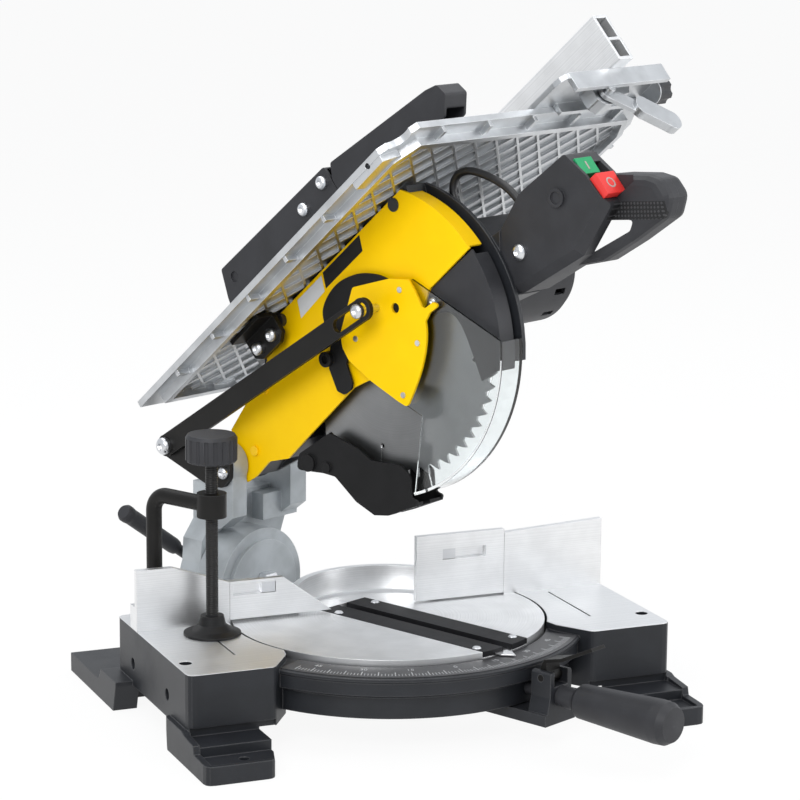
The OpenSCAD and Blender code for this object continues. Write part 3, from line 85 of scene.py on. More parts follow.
# %% Node helpers
def feed(tree, socket, value):
    """Gives a socket a number, a colour, or what another socket carries."""
    if isinstance(value, (int, float)):
        socket.default_value = value
    elif isinstance(value, tuple):
        socket.default_value = (*value, 1)
    else:
        tree.links.new(value, socket)


def maths(tree, operation, first, second):
    """Math node on two sockets or numbers; returns its result."""
    node = tree.nodes.new("ShaderNodeMath")
    node.operation = operation
    feed(tree, node.inputs[0], first)
    feed(tree, node.inputs[1], second)
    return node.outputs[0]


def vector_maths(tree, operation, first, second=None):
    """Vector math node on a socket and, where it needs one, a second socket or a fixed vector; returns its
    outputs."""
    node = tree.nodes.new("ShaderNodeVectorMath")
    node.operation = operation
    tree.links.new(first, node.inputs[0])
    if isinstance(second, bpy.types.NodeSocket):
        tree.links.new(second, node.inputs[1])
    elif second is not None:
        node.inputs[1].default_value = second
    return node.outputs


def ramp(tree, value, low, high, to_low=0.0, to_high=1.0):
    """Smooth step from one value at low to another at high, held at both ends."""
    node = tree.nodes.new("ShaderNodeMapRange")
    node.interpolation_type = "SMOOTHSTEP"
    tree.links.new(value, node.inputs["Value"])
    for label, number in (("From Min", low), ("From Max", high), ("To Min", to_low), ("To Max", to_high)):
        node.inputs[label].default_value = number
    return node.outputs["Result"]


def mixed(tree, share, first, second):
    """Colour mix of two colours or sockets by a share."""
    node = tree.nodes.new("ShaderNodeMix")
    node.data_type = "RGBA"
    feed(tree, node.inputs["Factor"], share)
    for label, value in (("A", first), ("B", second)):
        feed(tree, next(s for s in node.inputs if s.name == label and s.type == "RGBA"), value)
    return next(s for s in node.outputs if s.type == "RGBA")


def place_of(tree):
    """Where a point lies in its piece, which is also where it lies in the part at rest."""
    return tree.nodes.new("ShaderNodeTexCoord").outputs["Object"]


def light_path(tree):
    """What kind of ray asks for the colour: one socket each for the camera's, a mirror's, a glass's."""
    return tree.nodes.new("ShaderNodeLightPath").outputs


def mixed_surface(tree, out, share, first, second):
    """Sends a mix of two shaders to the output node."""
    mix = tree.nodes.new("ShaderNodeMixShader")
    for slot, value in zip(mix.inputs, (share, first.outputs[0], second.outputs[0])):
        tree.links.new(value, slot)
    tree.links.new(mix.outputs[0], out.inputs["Surface"])


# %% [markdown]
# ## Studio
# The object stands on a plain white sweep. The floor keeps the soft shadow that touches the feet; anything
# that the camera, a mirror or a clear guard sees behind it is plain white. Brighter lamps would do that as
# well, but they would bleach the bare metal, so the ray's own kind decides instead.

# %% Floor
FLOOR_WHITE, FLOOR_HALF = 0.92, 12.0
PALE, WHITE = (0.92, 0.92, 0.92, 1), (1, 1, 1, 1)


def white_behind(material):
    """Mix of a pale surface and plain white: mostly white where the ray comes from the camera, a mirror or
    glass, so that only the shadow shows."""
    tree = material.node_tree
    tree.nodes.clear()
    out = tree.nodes.new("ShaderNodeOutputMaterial")
    pale = tree.nodes.new("ShaderNodeBsdfDiffuse")
    pale.inputs["Color"].default_value = PALE
    white = tree.nodes.new("ShaderNodeEmission")
    white.inputs["Color"].default_value = WHITE
    ray = light_path(tree)
    mirrored = maths(tree, "MAXIMUM", ray["Is Glossy Ray"], ray["Is Transmission Ray"])
    seen = maths(tree, "MAXIMUM", ray["Is Camera Ray"], mirrored)
    mixed_surface(tree, out, maths(tree, "MULTIPLY", seen, FLOOR_WHITE), pale, white)


floor_mesh = bpy.data.meshes.new("floor")
floor_corners = [(x * FLOOR_HALF, y * FLOOR_HALF, 0) for x, y in ((-1, -1), (1, -1), (1, 1), (-1, 1))]
floor_mesh.from_pydata(floor_corners, [], [(0, 1, 2, 3)])
floor = bpy.data.objects.new("floor", floor_mesh)
bpy.context.scene.collection.objects.link(floor)
floor_finish = bpy.data.materials.new("white_sweep")
floor_finish.use_nodes = True
white_behind(floor_finish)
floor_mesh.materials.append(floor_finish)
print("floor", 2 * FLOOR_HALF, "m square")

# %% Sky
SKY_LIGHT, SKY_MIRRORED, SKY_COLOUR = 0.5, 0.8, (0.93, 0.96, 1.0, 1)
world = bpy.data.worlds.new("studio")
bpy.context.scene.world = world
world.use_nodes = True
sky = world.node_tree
sky.nodes.clear()
sky_out = sky.nodes.new("ShaderNodeOutputWorld")
sky_seen = sky.nodes.new("ShaderNodeBackground")
sky_seen.inputs["Color"].default_value = WHITE
sky_light = sky.nodes.new("ShaderNodeBackground")
sky_light.inputs["Color"].default_value = SKY_COLOUR
sky_ray = light_path(sky)
sky.links.new(ramp(sky, sky_ray["Is Glossy Ray"], 0.0, 1.0, SKY_LIGHT, SKY_MIRRORED), sky_light.inputs["Strength"])
sky_clear = maths(sky, "MAXIMUM", sky_ray["Is Camera Ray"], sky_ray["Is Transmission Ray"])
mixed_surface(sky, sky_out, sky_clear, sky_light, sky_seen)
print("sky strength", SKY_LIGHT, "and in mirrors", SKY_MIRRORED)

# %% [markdown]
# Three large softboxes light the saw: the key from the front left gives the yellow cover its even tone, a
# weaker one from the right opens the grip's side, and a wide one overhead lights the bare table tops. Wide
# lamps give the soft reflections that bare metal needs; small ones would leave hard spots on it.

# %% Lamps
# place, height of the point that the lamp looks at, width and height, power
LAMPS = {"key_softbox": ((-1.6, -1.9, 1.9), 0.3, (1.4, 1.4), 46),
         "side_softbox": ((1.9, -1.2, 1.2), 0.3, (1.0, 1.6), 22),
         "top_softbox": ((0.1, 0.4, 2.2), 0.2, (2.8, 2.8), 38)}
for name, (place, aim_z, size, power) in LAMPS.items():
    lamp_data = bpy.data.lights.new(name, "AREA")
    lamp_data.shape = "RECTANGLE"
    lamp_data.size, lamp_data.size_y = size
    lamp_data.energy = power
    lamp = bpy.data.objects.new(name, lamp_data)
    lamp.location = place
    lamp.rotation_mode = "QUATERNION"
    lamp.rotation_quaternion = (Vector((0, 0, aim_z)) - Vector(place)).to_track_quat("-Z", "Y")
    bpy.context.scene.collection.objects.link(lamp)
bpy.context.scene.view_settings.view_transform = "Standard"
print("lamps", list(LAMPS))

# %% [markdown]
# ## Where things sit
# The saw stands turned by a mitre angle with its head raised, so three frames are handy: the bench's own, the
# turned table's, and the raised head's. The head's frame has the blade's centre as its origin; a point there
# is given as how far across the blade, how far forward and how far up, in millimetres.

# %% Frames
MITRE, RAISED = math.radians(25.5), math.radians(41.2)
PIVOT_Y, PIVOT_Z, PIVOT_BACK, PIVOT_UP = 182.0, 189.0, 229.0, 15.0


def from_mitre(points):
    """Turned-table millimetres to metres: a turn about the upright axis."""
    x, y, z = np.moveaxis(np.asarray(points, float), -1, 0)
    c, s = math.cos(MITRE), math.sin(MITRE)
    return np.stack([x * c - y * s, x * s + y * c, z], -1) * MM


def from_head(points):
    """Head millimetres (across, forward, up) to metres: a turn about the chop pivot, then the mitre turn."""
    x, s, n = np.moveaxis(np.asarray(points, float), -1, 0)
    y, z = -s - PIVOT_BACK, n - PIVOT_UP
    c, k = math.cos(RAISED), math.sin(RAISED)
    return from_mitre(np.stack([x, PIVOT_Y + y * c + z * k, PIVOT_Z - y * k + z * c], -1))


BLADE_CENTRE = from_head([0, 0, 0])
AWAY = from_head([1, 0, 0]) - BLADE_CENTRE
OUT = -AWAY
print("blade centre", BLADE_CENTRE.round(4))

# %% [markdown]
# ## Shared surface effects
# Castings, mouldings and machined faces differ mostly in how their small marks run. Each effect is a node
# group that is built once, with named inputs, and placed in every finish that needs it. A copy of the nodes
# in each finish would work as well, but a change would then have to be made thirty times.
#
# The first is a soft edge. Real edges are never quite sharp, so they catch the light; the Bevel node bends the
# normal there without adding a face, and how far it bends tells where the edge is.

# %% Soft edge
FLOAT, VECTOR = "NodeSocketFloat", "NodeSocketVector"
EDGE_STARTS, EDGE_FULL = 0.995, 0.85  # cosine between the bent and the plain normal


def new_group(name, inputs, outputs):
    """Empty shader node group with float inputs and any outputs; returns the tree, its input and its output."""
    tree = bpy.data.node_groups.new(name, "ShaderNodeTree")
    for label, value in inputs.items():
        tree.interface.new_socket(name=label, in_out="INPUT", socket_type=FLOAT).default_value = value
    for label, kind in outputs.items():
        tree.interface.new_socket(name=label, in_out="OUTPUT", socket_type=kind)
    return tree, tree.nodes.new("NodeGroupInput").outputs, tree.nodes.new("NodeGroupOutput").inputs


soft_edge, edge_in, edge_out = new_group("soft_edge", {"Radius": 0.0008}, {"Normal": VECTOR, "Edge": FLOAT})
rounding = soft_edge.nodes.new("ShaderNodeBevel")
rounding.samples = 4
soft_edge.links.new(edge_in["Radius"], rounding.inputs["Radius"])
plain_normal = soft_edge.nodes.new("ShaderNodeNewGeometry").outputs["True Normal"]
bend = vector_maths(soft_edge, "DOT_PRODUCT", rounding.outputs[0], plain_normal)["Value"]
soft_edge.links.new(rounding.outputs[0], edge_out["Normal"])
soft_edge.links.new(ramp(soft_edge, bend, EDGE_STARTS, EDGE_FULL), edge_out["Edge"])
print("group", soft_edge.name)

# %% [markdown]
# The skin of a casting or a moulding is a fine grain with a broad mottle over it. Two noise textures do both:
# the fine one lifts the surface, the broad one shades it.

# %% Casting and moulding skin
FINE_DETAIL, BROAD_DETAIL = 2, 4
skin, skin_in, skin_out = new_group("skin", {"Grain": 900.0, "Mottle": 40.0}, {"Height": FLOAT, "Shade": FLOAT})
skin_place = place_of(skin)
for source, detail, result in (("Grain", FINE_DETAIL, "Height"), ("Mottle", BROAD_DETAIL, "Shade")):
    noise = skin.nodes.new("ShaderNodeTexNoise")
    noise.inputs["Detail"].default_value = detail
    skin.links.new(skin_place, noise.inputs["Vector"])
    skin.links.new(skin_in[source], noise.inputs["Scale"])
    skin.links.new(noise.outputs["Fac"], skin_out[result])
print("group", skin.name)

# %% [markdown]
# A cutter leaves lines that lie side by side and never repeat. A noise of one dimension, read at the distance
# across the lines, gives just that.

# %% Cutter lines
LINE_DETAIL, DARK_BELOW, LIGHT_ABOVE = 3, 0.3, 0.7
cutter_lines, cut_in, cut_out = new_group("cutter_lines", {"Across": 0.0, "Pitch": 0.0006},
                                          {"Height": FLOAT, "Shade": FLOAT})
lines = cutter_lines.nodes.new("ShaderNodeTexNoise")
lines.noise_dimensions = "1D"
lines.inputs["Detail"].default_value = LINE_DETAIL
lines.inputs["Scale"].default_value = 1
cutter_lines.links.new(maths(cutter_lines, "DIVIDE", cut_in["Across"], cut_in["Pitch"]), lines.inputs["W"])
cutter_lines.links.new(lines.outputs["Fac"], cut_out["Height"])
cutter_lines.links.new(ramp(cutter_lines, lines.outputs["Fac"], DARK_BELOW, LIGHT_ABOVE), cut_out["Shade"])
print("group", cutter_lines.name)

# %% [markdown]
# Hands leave smears that dull the shine in patches. A noise with much detail, cut off below its middle, makes
# the patches, and the finish adds them to its roughness.

# %% Handling marks
SMEAR_DETAIL, SMEAR_ROUGHNESS, SMEAR_STARTS, SMEAR_FULL = 6, 0.65, 0.45, 0.75
marks, marks_in, marks_out = new_group("handling_marks", {"Size": 25.0, "Amount": 0.5}, {"Mask": FLOAT})
smear = marks.nodes.new("ShaderNodeTexNoise")
smear.inputs["Detail"].default_value = SMEAR_DETAIL
smear.inputs["Roughness"].default_value = SMEAR_ROUGHNESS
marks.links.new(place_of(marks), smear.inputs["Vector"])
marks.links.new(marks_in["Size"], smear.inputs["Scale"])
smeared = ramp(marks, smear.outputs["Fac"], SMEAR_STARTS, SMEAR_FULL)
marks.links.new(maths(marks, "MULTIPLY", smeared, marks_in["Amount"]), marks_out["Mask"])
print("shared effects:", [tree.name for tree in bpy.data.node_groups])

# %% [markdown]
# ## Finishes
# A finish starts from one base colour and roughness. The skin lifts and mottles it a little, and the soft
# edge lightens the colour along the edges: partly the wear that a hand or a cloth leaves, partly a painted
# highlight. Values that do not change over the surface stay on the shader's own sockets.

# %% Finish helper
SMEAR_PER_MOTTLE, SMEAR_ADDS = 0.6, 0.2


def use(tree, group, **values):
    """Places a shared group with its own input values; returns its outputs."""
    node = tree.nodes.new("ShaderNodeGroup")
    node.node_tree = group
    for label, value in values.items():
        feed(tree, node.inputs[label], value)
    return node.outputs


def bump_over(tree, shader, height, depth, below):
    """Bump of a given depth on top of another normal, sent to the shader; returns its normal."""
    bump = tree.nodes.new("ShaderNodeBump")
    bump.inputs["Distance"].default_value = depth
    tree.links.new(height, bump.inputs["Height"])
    tree.links.new(below, bump.inputs["Normal"])
    tree.links.new(bump.outputs["Normal"], shader.inputs["Normal"])
    return bump.outputs["Normal"]


def finish(name, colour, rough, metal=0.0, grain=900.0, depth=0.00005, mottle=40.0, tone=0.12, edge=0.0008,
           rubbed=None, rub=0.5, marks_amount=0.3, **sockets):
    """Material from one colour: mottled by the skin, lighter on its edges for wear and as a painted highlight,
    roughened by handling marks, with a bump of a given depth. Returns the material, its tree, its shader, its
    normal and its shade."""
    material = bpy.data.materials.new(name)
    material.use_nodes = True
    tree = material.node_tree
    shader = tree.nodes["Principled BSDF"]
    surface = use(tree, skin, Grain=grain, Mottle=mottle)
    rounded = use(tree, soft_edge, Radius=edge)
    handled = use(tree, marks, Size=mottle * SMEAR_PER_MOTTLE, Amount=marks_amount)
    low = tuple(c * (1 - tone) for c in colour)
    high = tuple(min(1.0, c * (1 + tone)) for c in colour)
    shade = mixed(tree, ramp(tree, surface["Shade"], DARK_BELOW, LIGHT_ABOVE), low, high)
    # Edge colour: partly the wear of hands and cloths, partly a painted highlight where an edge would catch the
    # light.
    if rubbed:
        shade = mixed(tree, maths(tree, "MULTIPLY", rounded["Edge"], rub), shade, rubbed)
    tree.links.new(shade, shader.inputs["Base Color"])
    dulled = maths(tree, "MULTIPLY", handled["Mask"], SMEAR_ADDS)
    tree.links.new(maths(tree, "ADD", dulled, rough), shader.inputs["Roughness"])
    normal = bump_over(tree, shader, surface["Height"], depth, rounded["Normal"])
    shader.inputs["Metallic"].default_value = metal
    for label, value in sockets.items():
        shader.inputs[label.replace("_", " ")].default_value = value
    return {"material": material, "tree": tree, "shader": shader, "normal": normal, "shade": shade}


# %% [markdown]
# The blacks of the saw are not one black. The base and the head are painted castings with a coarse grain, the
# link and the clamp are coated steel with hardly any shine, and the guards, the grip and the knobs are moulded
# with a fine texture. The yellow cover is powder-coated: smooth, warm and nearly free of mottle.

# %% Painted and moulded finishes
# The lighter edge colours of these finishes are partly scuffed or worn paint, partly painted highlight.
SCUFF_AND_HIGHLIGHT, YELLOW = (0.16, 0.16, 0.165), (1.0, 0.61, 0.0)
MATT, DULL, FAINT = 0.35, 0.2, 0.12
BLACK_MOULDING = dict(colour=(0.026, 0.0265, 0.03), rough=0.5, grain=1500, depth=0.00007,
                      rubbed=(0.08, 0.08, 0.086), rub=0.3, Specular_IOR_Level=MATT)
BLACK_CASTING = dict(rough=0.42, grain=650, depth=0.00008, rubbed=SCUFF_AND_HIGHLIGHT, rub=0.45, edge=0.0015,
                     Specular_IOR_Level=MATT)
black_paint = finish("satin_black_paint", (0.017, 0.0185, 0.022), **BLACK_CASTING)
black_steel = finish("black_coated_steel", (0.009, 0.0085, 0.008), 0.4, grain=1200, depth=0.00004,
                     rubbed=SCUFF_AND_HIGHLIGHT, rub=0.3, Specular_IOR_Level=DULL)
black_plastic = finish("textured_black_plastic", **BLACK_MOULDING)
deep_plastic = finish("deep_black_plastic", (0.009, 0.009, 0.0095), 0.5, grain=1500, depth=0.00006,
                      rubbed=(0.05, 0.05, 0.052), rub=0.3, Specular_IOR_Level=DULL)
insert_plastic = finish("dark_insert_plastic", (0.01, 0.01, 0.0115), 0.55, grain=1500, depth=0.00005,
                        Specular_IOR_Level=DULL)
yellow_paint = finish("warm_yellow_powder_coat", YELLOW, 0.36, grain=500, depth=0.00003, tone=0.02,
                      rubbed=(1.0, 0.7, 0.08), rub=0.3, marks_amount=0.15, Specular_IOR_Level=FAINT)
grey_paint = finish("light_grey_paint", (0.42, 0.45, 0.47), 0.4, metal=0.3, grain=700, depth=0.00006,
                    rubbed=(0.7, 0.72, 0.73), rub=0.5)
red_plastic = finish("red_moulding", (0.74, 0.035, 0.03), 0.3, grain=1200, depth=0.00002, tone=0.05)
green_plastic = finish("green_moulding", (0.01, 0.3, 0.11), 0.32, grain=1200, depth=0.00002, tone=0.05)
scale_plate = finish("dark_scale_plate", (0.035, 0.035, 0.038), 0.36, grain=1400, depth=0.00003)
varnish = finish("varnished_laminations", (0.2, 0.11, 0.045), 0.4, grain=800, depth=0.00005)
print("finishes so far:", len(bpy.data.materials))

# %% [markdown]
# The upper table and the rip fence's holder are plain aluminium castings: full metal, with a coarse grain that
# breaks up its reflections. Screws are zinc-plated and a good deal smoother; shafts and gears are plain steel.

# %% Metals
# The bright edge colour of the metals is partly polished wear, partly painted highlight.
BRIGHT = (0.88, 0.89, 0.9)
ZINC = dict(colour=(0.7, 0.71, 0.73), rough=0.28, metal=1.0, grain=900, depth=0.00003, tone=0.08,
            rubbed=BRIGHT, rub=0.5, edge=0.0005)
CAST = dict(colour=(0.58, 0.595, 0.61), rough=0.38, metal=1.0, grain=420, depth=0.00012, tone=0.1,
            rubbed=BRIGHT, rub=0.6)
zinc = finish("zinc_plate", **ZINC)
steel = finish("plain_steel", (0.45, 0.46, 0.48), 0.32, metal=1.0, grain=900, depth=0.00003)
cast_aluminium = finish("cast_aluminium", **CAST)
print("finishes so far:", len(bpy.data.materials))

# %% [markdown]
# Machined faces carry the lines that the cutter left: circles on a turned face, straight passes on a milled
# one, and the die's long lines on the drawn rip fence. `Across` is the distance measured across those lines,
# so a circle's is the radius from its axis. A picture of brushed metal would do for a flat face, but it would
# not follow the round ones.

# %% Machined finishes
# The edge colour of machined faces is partly wear, partly painted highlight.
BARE_METAL, WORN_AND_HIGHLIT_METAL = (0.88, 0.885, 0.89), (0.92, 0.92, 0.92)
LINE_SHARE, LINE_DARK, LINE_ROUGH = 0.35, 0.72, 0.14
FLAT = (1, 1, 0)


def along(tree, start, towards):
    """Distance of a point in millimetres along the line from one head point towards another: its offset from the
    first, times the line's unit direction."""
    first = from_head(start)
    direction = from_head(towards) - first
    offset = vector_maths(tree, "SUBTRACT", place_of(tree), first)["Vector"]
    return vector_maths(tree, "DOT_PRODUCT", offset, direction / np.linalg.norm(direction) / MM)["Value"]


def across(tree, kind):
    """Distance across the cutter's lines at a point, in metres: its height above the raised head's axis, its
    distance from the upright axis, its distance from the blade's centre, or its own depth or height."""
    if kind == "drawn":
        return maths(tree, "MULTIPLY", along(tree, (0, 0, 0), (0, 0, 1)), MM)
    if kind == "turned":
        return vector_maths(tree, "LENGTH", vector_maths(tree, "MULTIPLY", place_of(tree), FLAT)["Vector"])["Value"]
    if kind == "blade":
        offset = vector_maths(tree, "SUBTRACT", place_of(tree), BLADE_CENTRE)["Vector"]
        return vector_maths(tree, "LENGTH", offset)["Value"]
    split = tree.nodes.new("ShaderNodeSeparateXYZ")
    tree.links.new(place_of(tree), split.inputs[0])
    return split.outputs[kind]


def machined(name, kind, pitch, colour=BARE_METAL, rough=0.3, depth=0.00002):
    """Bare metal with cutter lines in its roughness, colour and bump."""
    made = finish(name, colour, rough, metal=1.0, grain=700, depth=0.00002, tone=0.05, rubbed=WORN_AND_HIGHLIT_METAL,
                  rub=0.5, edge=0.0006)
    tree, shader = made["tree"], made["shader"]
    cut = use(tree, cutter_lines, Across=across(tree, kind), Pitch=pitch)
    dark = tuple(c * LINE_DARK for c in colour)
    tree.links.new(mixed(tree, maths(tree, "MULTIPLY", cut["Shade"], LINE_SHARE), made["shade"], dark),
                   shader.inputs["Base Color"])
    tree.links.new(maths(tree, "ADD", maths(tree, "MULTIPLY", cut["Shade"], LINE_ROUGH), rough),
                   shader.inputs["Roughness"])
    bump_over(tree, shader, cut["Height"], depth, made["normal"])
    return made


turned_aluminium = machined("turned_aluminium", "turned", 0.0009)
milled_aluminium = machined("milled_aluminium", "Z", 0.0007)
extruded_aluminium = machined("extruded_aluminium", "drawn", 0.0012, rough=0.36, depth=0.000005)
# The blade's colour is darker than bare ground steel: painted shade, standing for the shadow on the blade under the
# cover.
ground_steel = machined("ground_blade_steel", "blade", 0.0006, colour=(0.27, 0.275, 0.28))
print("finishes so far:", len(bpy.data.materials))

# %% [markdown]
# The base is a black casting whose two side blocks are milled bare on top. It is one CAD piece, and cutting it
# in two would show a seam, so a mask by height parts paint and metal.

# %% Base casting: black sides, bare work faces
WORK_FACE_Z, WORK_FACE_PITCH, WORK_FACE_LINES = 0.0757, 0.0009, (0.7, 0.71, 0.72)
base_paint = finish("black_casting_with_bare_top", (0.015, 0.0165, 0.02), **BLACK_CASTING)
tree, shader = base_paint["tree"], base_paint["shader"]
cut = use(tree, cutter_lines, Across=across(tree, "Y"), Pitch=WORK_FACE_PITCH)
bare = maths(tree, "GREATER_THAN", across(tree, "Z"), WORK_FACE_Z)
metal_shade = mixed(tree, cut["Shade"], BARE_METAL, WORK_FACE_LINES)
tree.links.new(mixed(tree, bare, base_paint["shade"], metal_shade), shader.inputs["Base Color"])
tree.links.new(bare, shader.inputs["Metallic"])
print("base bare above", WORK_FACE_Z, "m")

# %% [markdown]
# Two pieces carry black plastic on bare metal: the rip fence's holder ends in a moulded knob, and the cover's
# studs have black caps among the zinc screws, whose rear two are painted over with the cover. Each is one CAD
# piece, so a mask by position parts the finishes here too.

# %% Two finishes on one piece
KNOB_FROM, KNOB_TO = (245.2, 0, 92), (300, 0, 92)
CAPS_FROM, CAPS_TO = (0, 0, 70), (0, 0, 90)
PAINTED_FROM, PAINTED_TO = (0, -130, 0), (0, -140, 0)


def beyond(tree, start, towards):
    """One past the start of a line, nought before it."""
    return maths(tree, "GREATER_THAN", along(tree, start, towards), 0.0)


def black_beyond(name, metal, start, towards):
    """Bare metal that turns to black plastic past the start of a line."""
    made = finish(name, **metal)
    tree, shader = made["tree"], made["shader"]
    end = beyond(tree, start, towards)
    made["shade"] = mixed(tree, end, made["shade"], BLACK_MOULDING["colour"])
    made["metal"] = maths(tree, "SUBTRACT", 1.0, end)
    tree.links.new(made["shade"], shader.inputs["Base Color"])
    tree.links.new(made["metal"], shader.inputs["Metallic"])
    return made


holder_and_knob = black_beyond("cast_holder_black_knob", CAST, KNOB_FROM, KNOB_TO)
screws_and_studs = black_beyond("zinc_screws_black_studs", ZINC, CAPS_FROM, CAPS_TO)
tree, shader = screws_and_studs["tree"], screws_and_studs["shader"]
painted = beyond(tree, PAINTED_FROM, PAINTED_TO)
tree.links.new(mixed(tree, painted, screws_and_studs["shade"], YELLOW), shader.inputs["Base Color"])
bare_share = maths(tree, "SUBTRACT", 1.0, painted)
tree.links.new(maths(tree, "MULTIPLY", screws_and_studs["metal"], bare_share), shader.inputs["Metallic"])
print("two finishes each:", holder_and_knob["material"].name, screws_and_studs["material"].name)

# %% [markdown]
# The grip's side has a patch of small rubber pimples. Some eighty of them as meshes would be far finer than
# anything else on the saw, so they are a bump: in each cell of a square pattern, a spot round the middle.

# %% Pimpled grip
PATCH_START, PATCH_ALONG, PATCH_DOWN = (39, 241, -32), (39, 292, -68), (39, 229.5, -48.3)
PATCH_LONG, PATCH_WIDE, PIMPLE_PITCH = 62.0, 15.0, 3.4
GRIP_FACE_FROM, GRIP_FACE_TO = 30.0, 46.0
PIMPLE_FOOT, PIMPLE_TOP, PIMPLE_HIGH = 0.14, 0.05, 0.0005  # squared radii in cells, then metres
PIMPLE_GROUND, PIMPLE_SHADE = (0.01, 0.01, 0.011), (0.045, 0.045, 0.048)
grip_plastic = finish("pimpled_black_grip", **BLACK_MOULDING)
tree, shader = grip_plastic["tree"], grip_plastic["shader"]
patch_u, patch_v = along(tree, PATCH_START, PATCH_ALONG), along(tree, PATCH_START, PATCH_DOWN)
squares = []
for value in (patch_u, patch_v):
    in_cell = maths(tree, "FRACT", maths(tree, "DIVIDE", value, PIMPLE_PITCH), 0.0)
    from_middle = maths(tree, "SUBTRACT", in_cell, 0.5)
    squares.append(maths(tree, "MULTIPLY", from_middle, from_middle))
pimple = ramp(tree, maths(tree, "ADD", *squares), PIMPLE_FOOT, PIMPLE_TOP)
patch = 1.0
for value, low, high in ((patch_u, 0.0, PATCH_LONG), (patch_v, 0.0, PATCH_WIDE),
                         (along(tree, (0, 0, 0), (1, 0, 0)), GRIP_FACE_FROM, GRIP_FACE_TO)):
    for test, limit in (("GREATER_THAN", low), ("LESS_THAN", high)):
        patch = maths(tree, "MULTIPLY", maths(tree, test, value, limit), patch)
bump_over(tree, shader, maths(tree, "MULTIPLY", pimple, patch), PIMPLE_HIGH, grip_plastic["normal"])
tree.links.new(mixed(tree, patch, grip_plastic["shade"], mixed(tree, pimple, PIMPLE_GROUND, PIMPLE_SHADE)),
               shader.inputs["Base Color"])
print("pimples about", int(PATCH_LONG * PATCH_WIDE / PIMPLE_PITCH ** 2))

# %% [markdown]
# The lower guard is clear polycarbonate. Full transmission with the plastic's own index bends what lies behind
# it and leaves bright rims; a thin mix with Transparent would be quicker to render, but the rims would be lost.

# %% Clear guard
clear = finish("clear_polycarbonate", (0.93, 0.96, 0.965), 0.04, grain=300, depth=0.00001, tone=0.02, edge=0.0004,
               marks_amount=0.25, Transmission_Weight=1.0, IOR=1.5)
print("finishes in all:", len(bpy.data.materials))

# %% [markdown]
# Every CAD piece now gets its finish. The slots of the pieces stay as they are, since the record names them;
# only the material in each slot changes.

# %% Give every piece its finish
FINISHES = {
    "base_casting": base_paint, "mitre_scale": scale_plate, "fence": milled_aluminium, "fence_bolts": zinc,
    "turntable_bolt": zinc, "turntable": turned_aluminium, "trunnion": grey_paint, "mitre_arm": black_paint,
    "kerf_inserts": insert_plastic, "turntable_screws": zinc, "mitre_pointer": milled_aluminium,
    "detent_lever": black_steel, "mitre_grip": black_plastic, "tilt_arm": grey_paint, "bevel_bolt": zinc,
    "link_bracket": black_steel, "tilt_bolts": zinc, "pivot_pin": steel, "return_spring": steel,
    "bevel_lever": black_plastic, "head_casting": black_paint, "blade_cover": yellow_paint,
    "guard_nose": black_plastic, "head_screws": screws_and_studs, "gear_case": black_paint,
    "motor_housing": black_plastic, "stator": varnish, "handle_left": grip_plastic, "handle_right": black_plastic,
    "switch_lead": black_plastic, "table_bracket": black_paint, "bearings": steel, "saw_blade": ground_steel,
    "arbor": steel, "blade_flanges": steel, "arbor_gear": steel, "armature": steel, "lower_guard": clear,
    "guard_hub": deep_plastic, "guard_sector": yellow_paint, "guard_pin": zinc, "guard_link": black_steel,
    "rear_flap": deep_plastic, "start_button": green_plastic, "stop_button": red_plastic,
    "upper_table": cast_aluminium, "table_columns": steel, "riving_knife": steel, "upper_guard": black_plastic,
    "table_hanger": black_steel, "table_bolts": zinc, "guard_hood": black_plastic,
    "rip_fence": extruded_aluminium, "rip_bracket": holder_and_knob, "rip_lever": cast_aluminium,
    "left_slide": milled_aluminium, "right_slide": milled_aluminium, "clamp_arm": black_steel,
    "clamp_screw": black_plastic, "clamp_foot": deep_plastic,
}
for name, made in FINISHES.items():
    for slot in nodes[name].material_slots:
        slot.material = made["material"]
print("pieces without a finish:", sorted(set(nodes) - set(FINISHES)))

# %% [markdown]
# ## Surfaces from arrays
# A grid of points becomes a mesh in one go: every cell of the grid is a quad, and a direction that closes on
# itself joins its last row to its first. Ends that stay open get a cap.


# %% Mesh helpers
def grid_faces(rows, columns, close_rows=False, close_columns=False):
    """Quads of a grid of points, as an array of four indices each."""
    i = np.arange(rows if close_rows else rows - 1)[:, None]
    j = np.arange(columns if close_columns else columns - 1)[None, :]
    i2, j2 = (i + 1) % rows, (j + 1) % columns
    corners = (i * columns + j, i * columns + j2, i2 * columns + j2, i2 * columns + j)
    return np.stack(np.broadcast_arrays(*corners), -1).reshape(-1, 4)


def capped_faces(rows, sides, start=0):
    """Faces of a tube of rings whose points are counted from a start: its quads, then a cap on each end."""
    last = start + (rows - 1) * sides
    caps = [list(range(start, start + sides))[::-1], list(range(last, last + sides))]
    return (grid_faces(rows, sides, close_columns=True) + start).tolist() + caps


def put(name, mesh, body, made):
    """Object from a mesh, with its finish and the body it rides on."""
    mesh.materials.append(made["material"])
    thing = bpy.data.objects.new(name, mesh)
    bpy.context.scene.collection.objects.link(thing)
    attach(thing, body)
    return thing


def piece(name, points, faces, body, made, smooth=True):
    """Object from points in metres, in an array of any shape, and their faces."""
    mesh = bpy.data.meshes.new(name)
    mesh.from_pydata(np.asarray(points, float).reshape(-1, 3).tolist(), [], faces)
    mesh.polygons.foreach_set("use_smooth", [smooth] * len(mesh.polygons))
    mesh.validate()
    mesh.update()
    return put(name, mesh, body, made)


def turn_round(sides):
    """Angles of a full turn, without its end."""
    return np.linspace(0, 2 * np.pi, sides, endpoint=False)


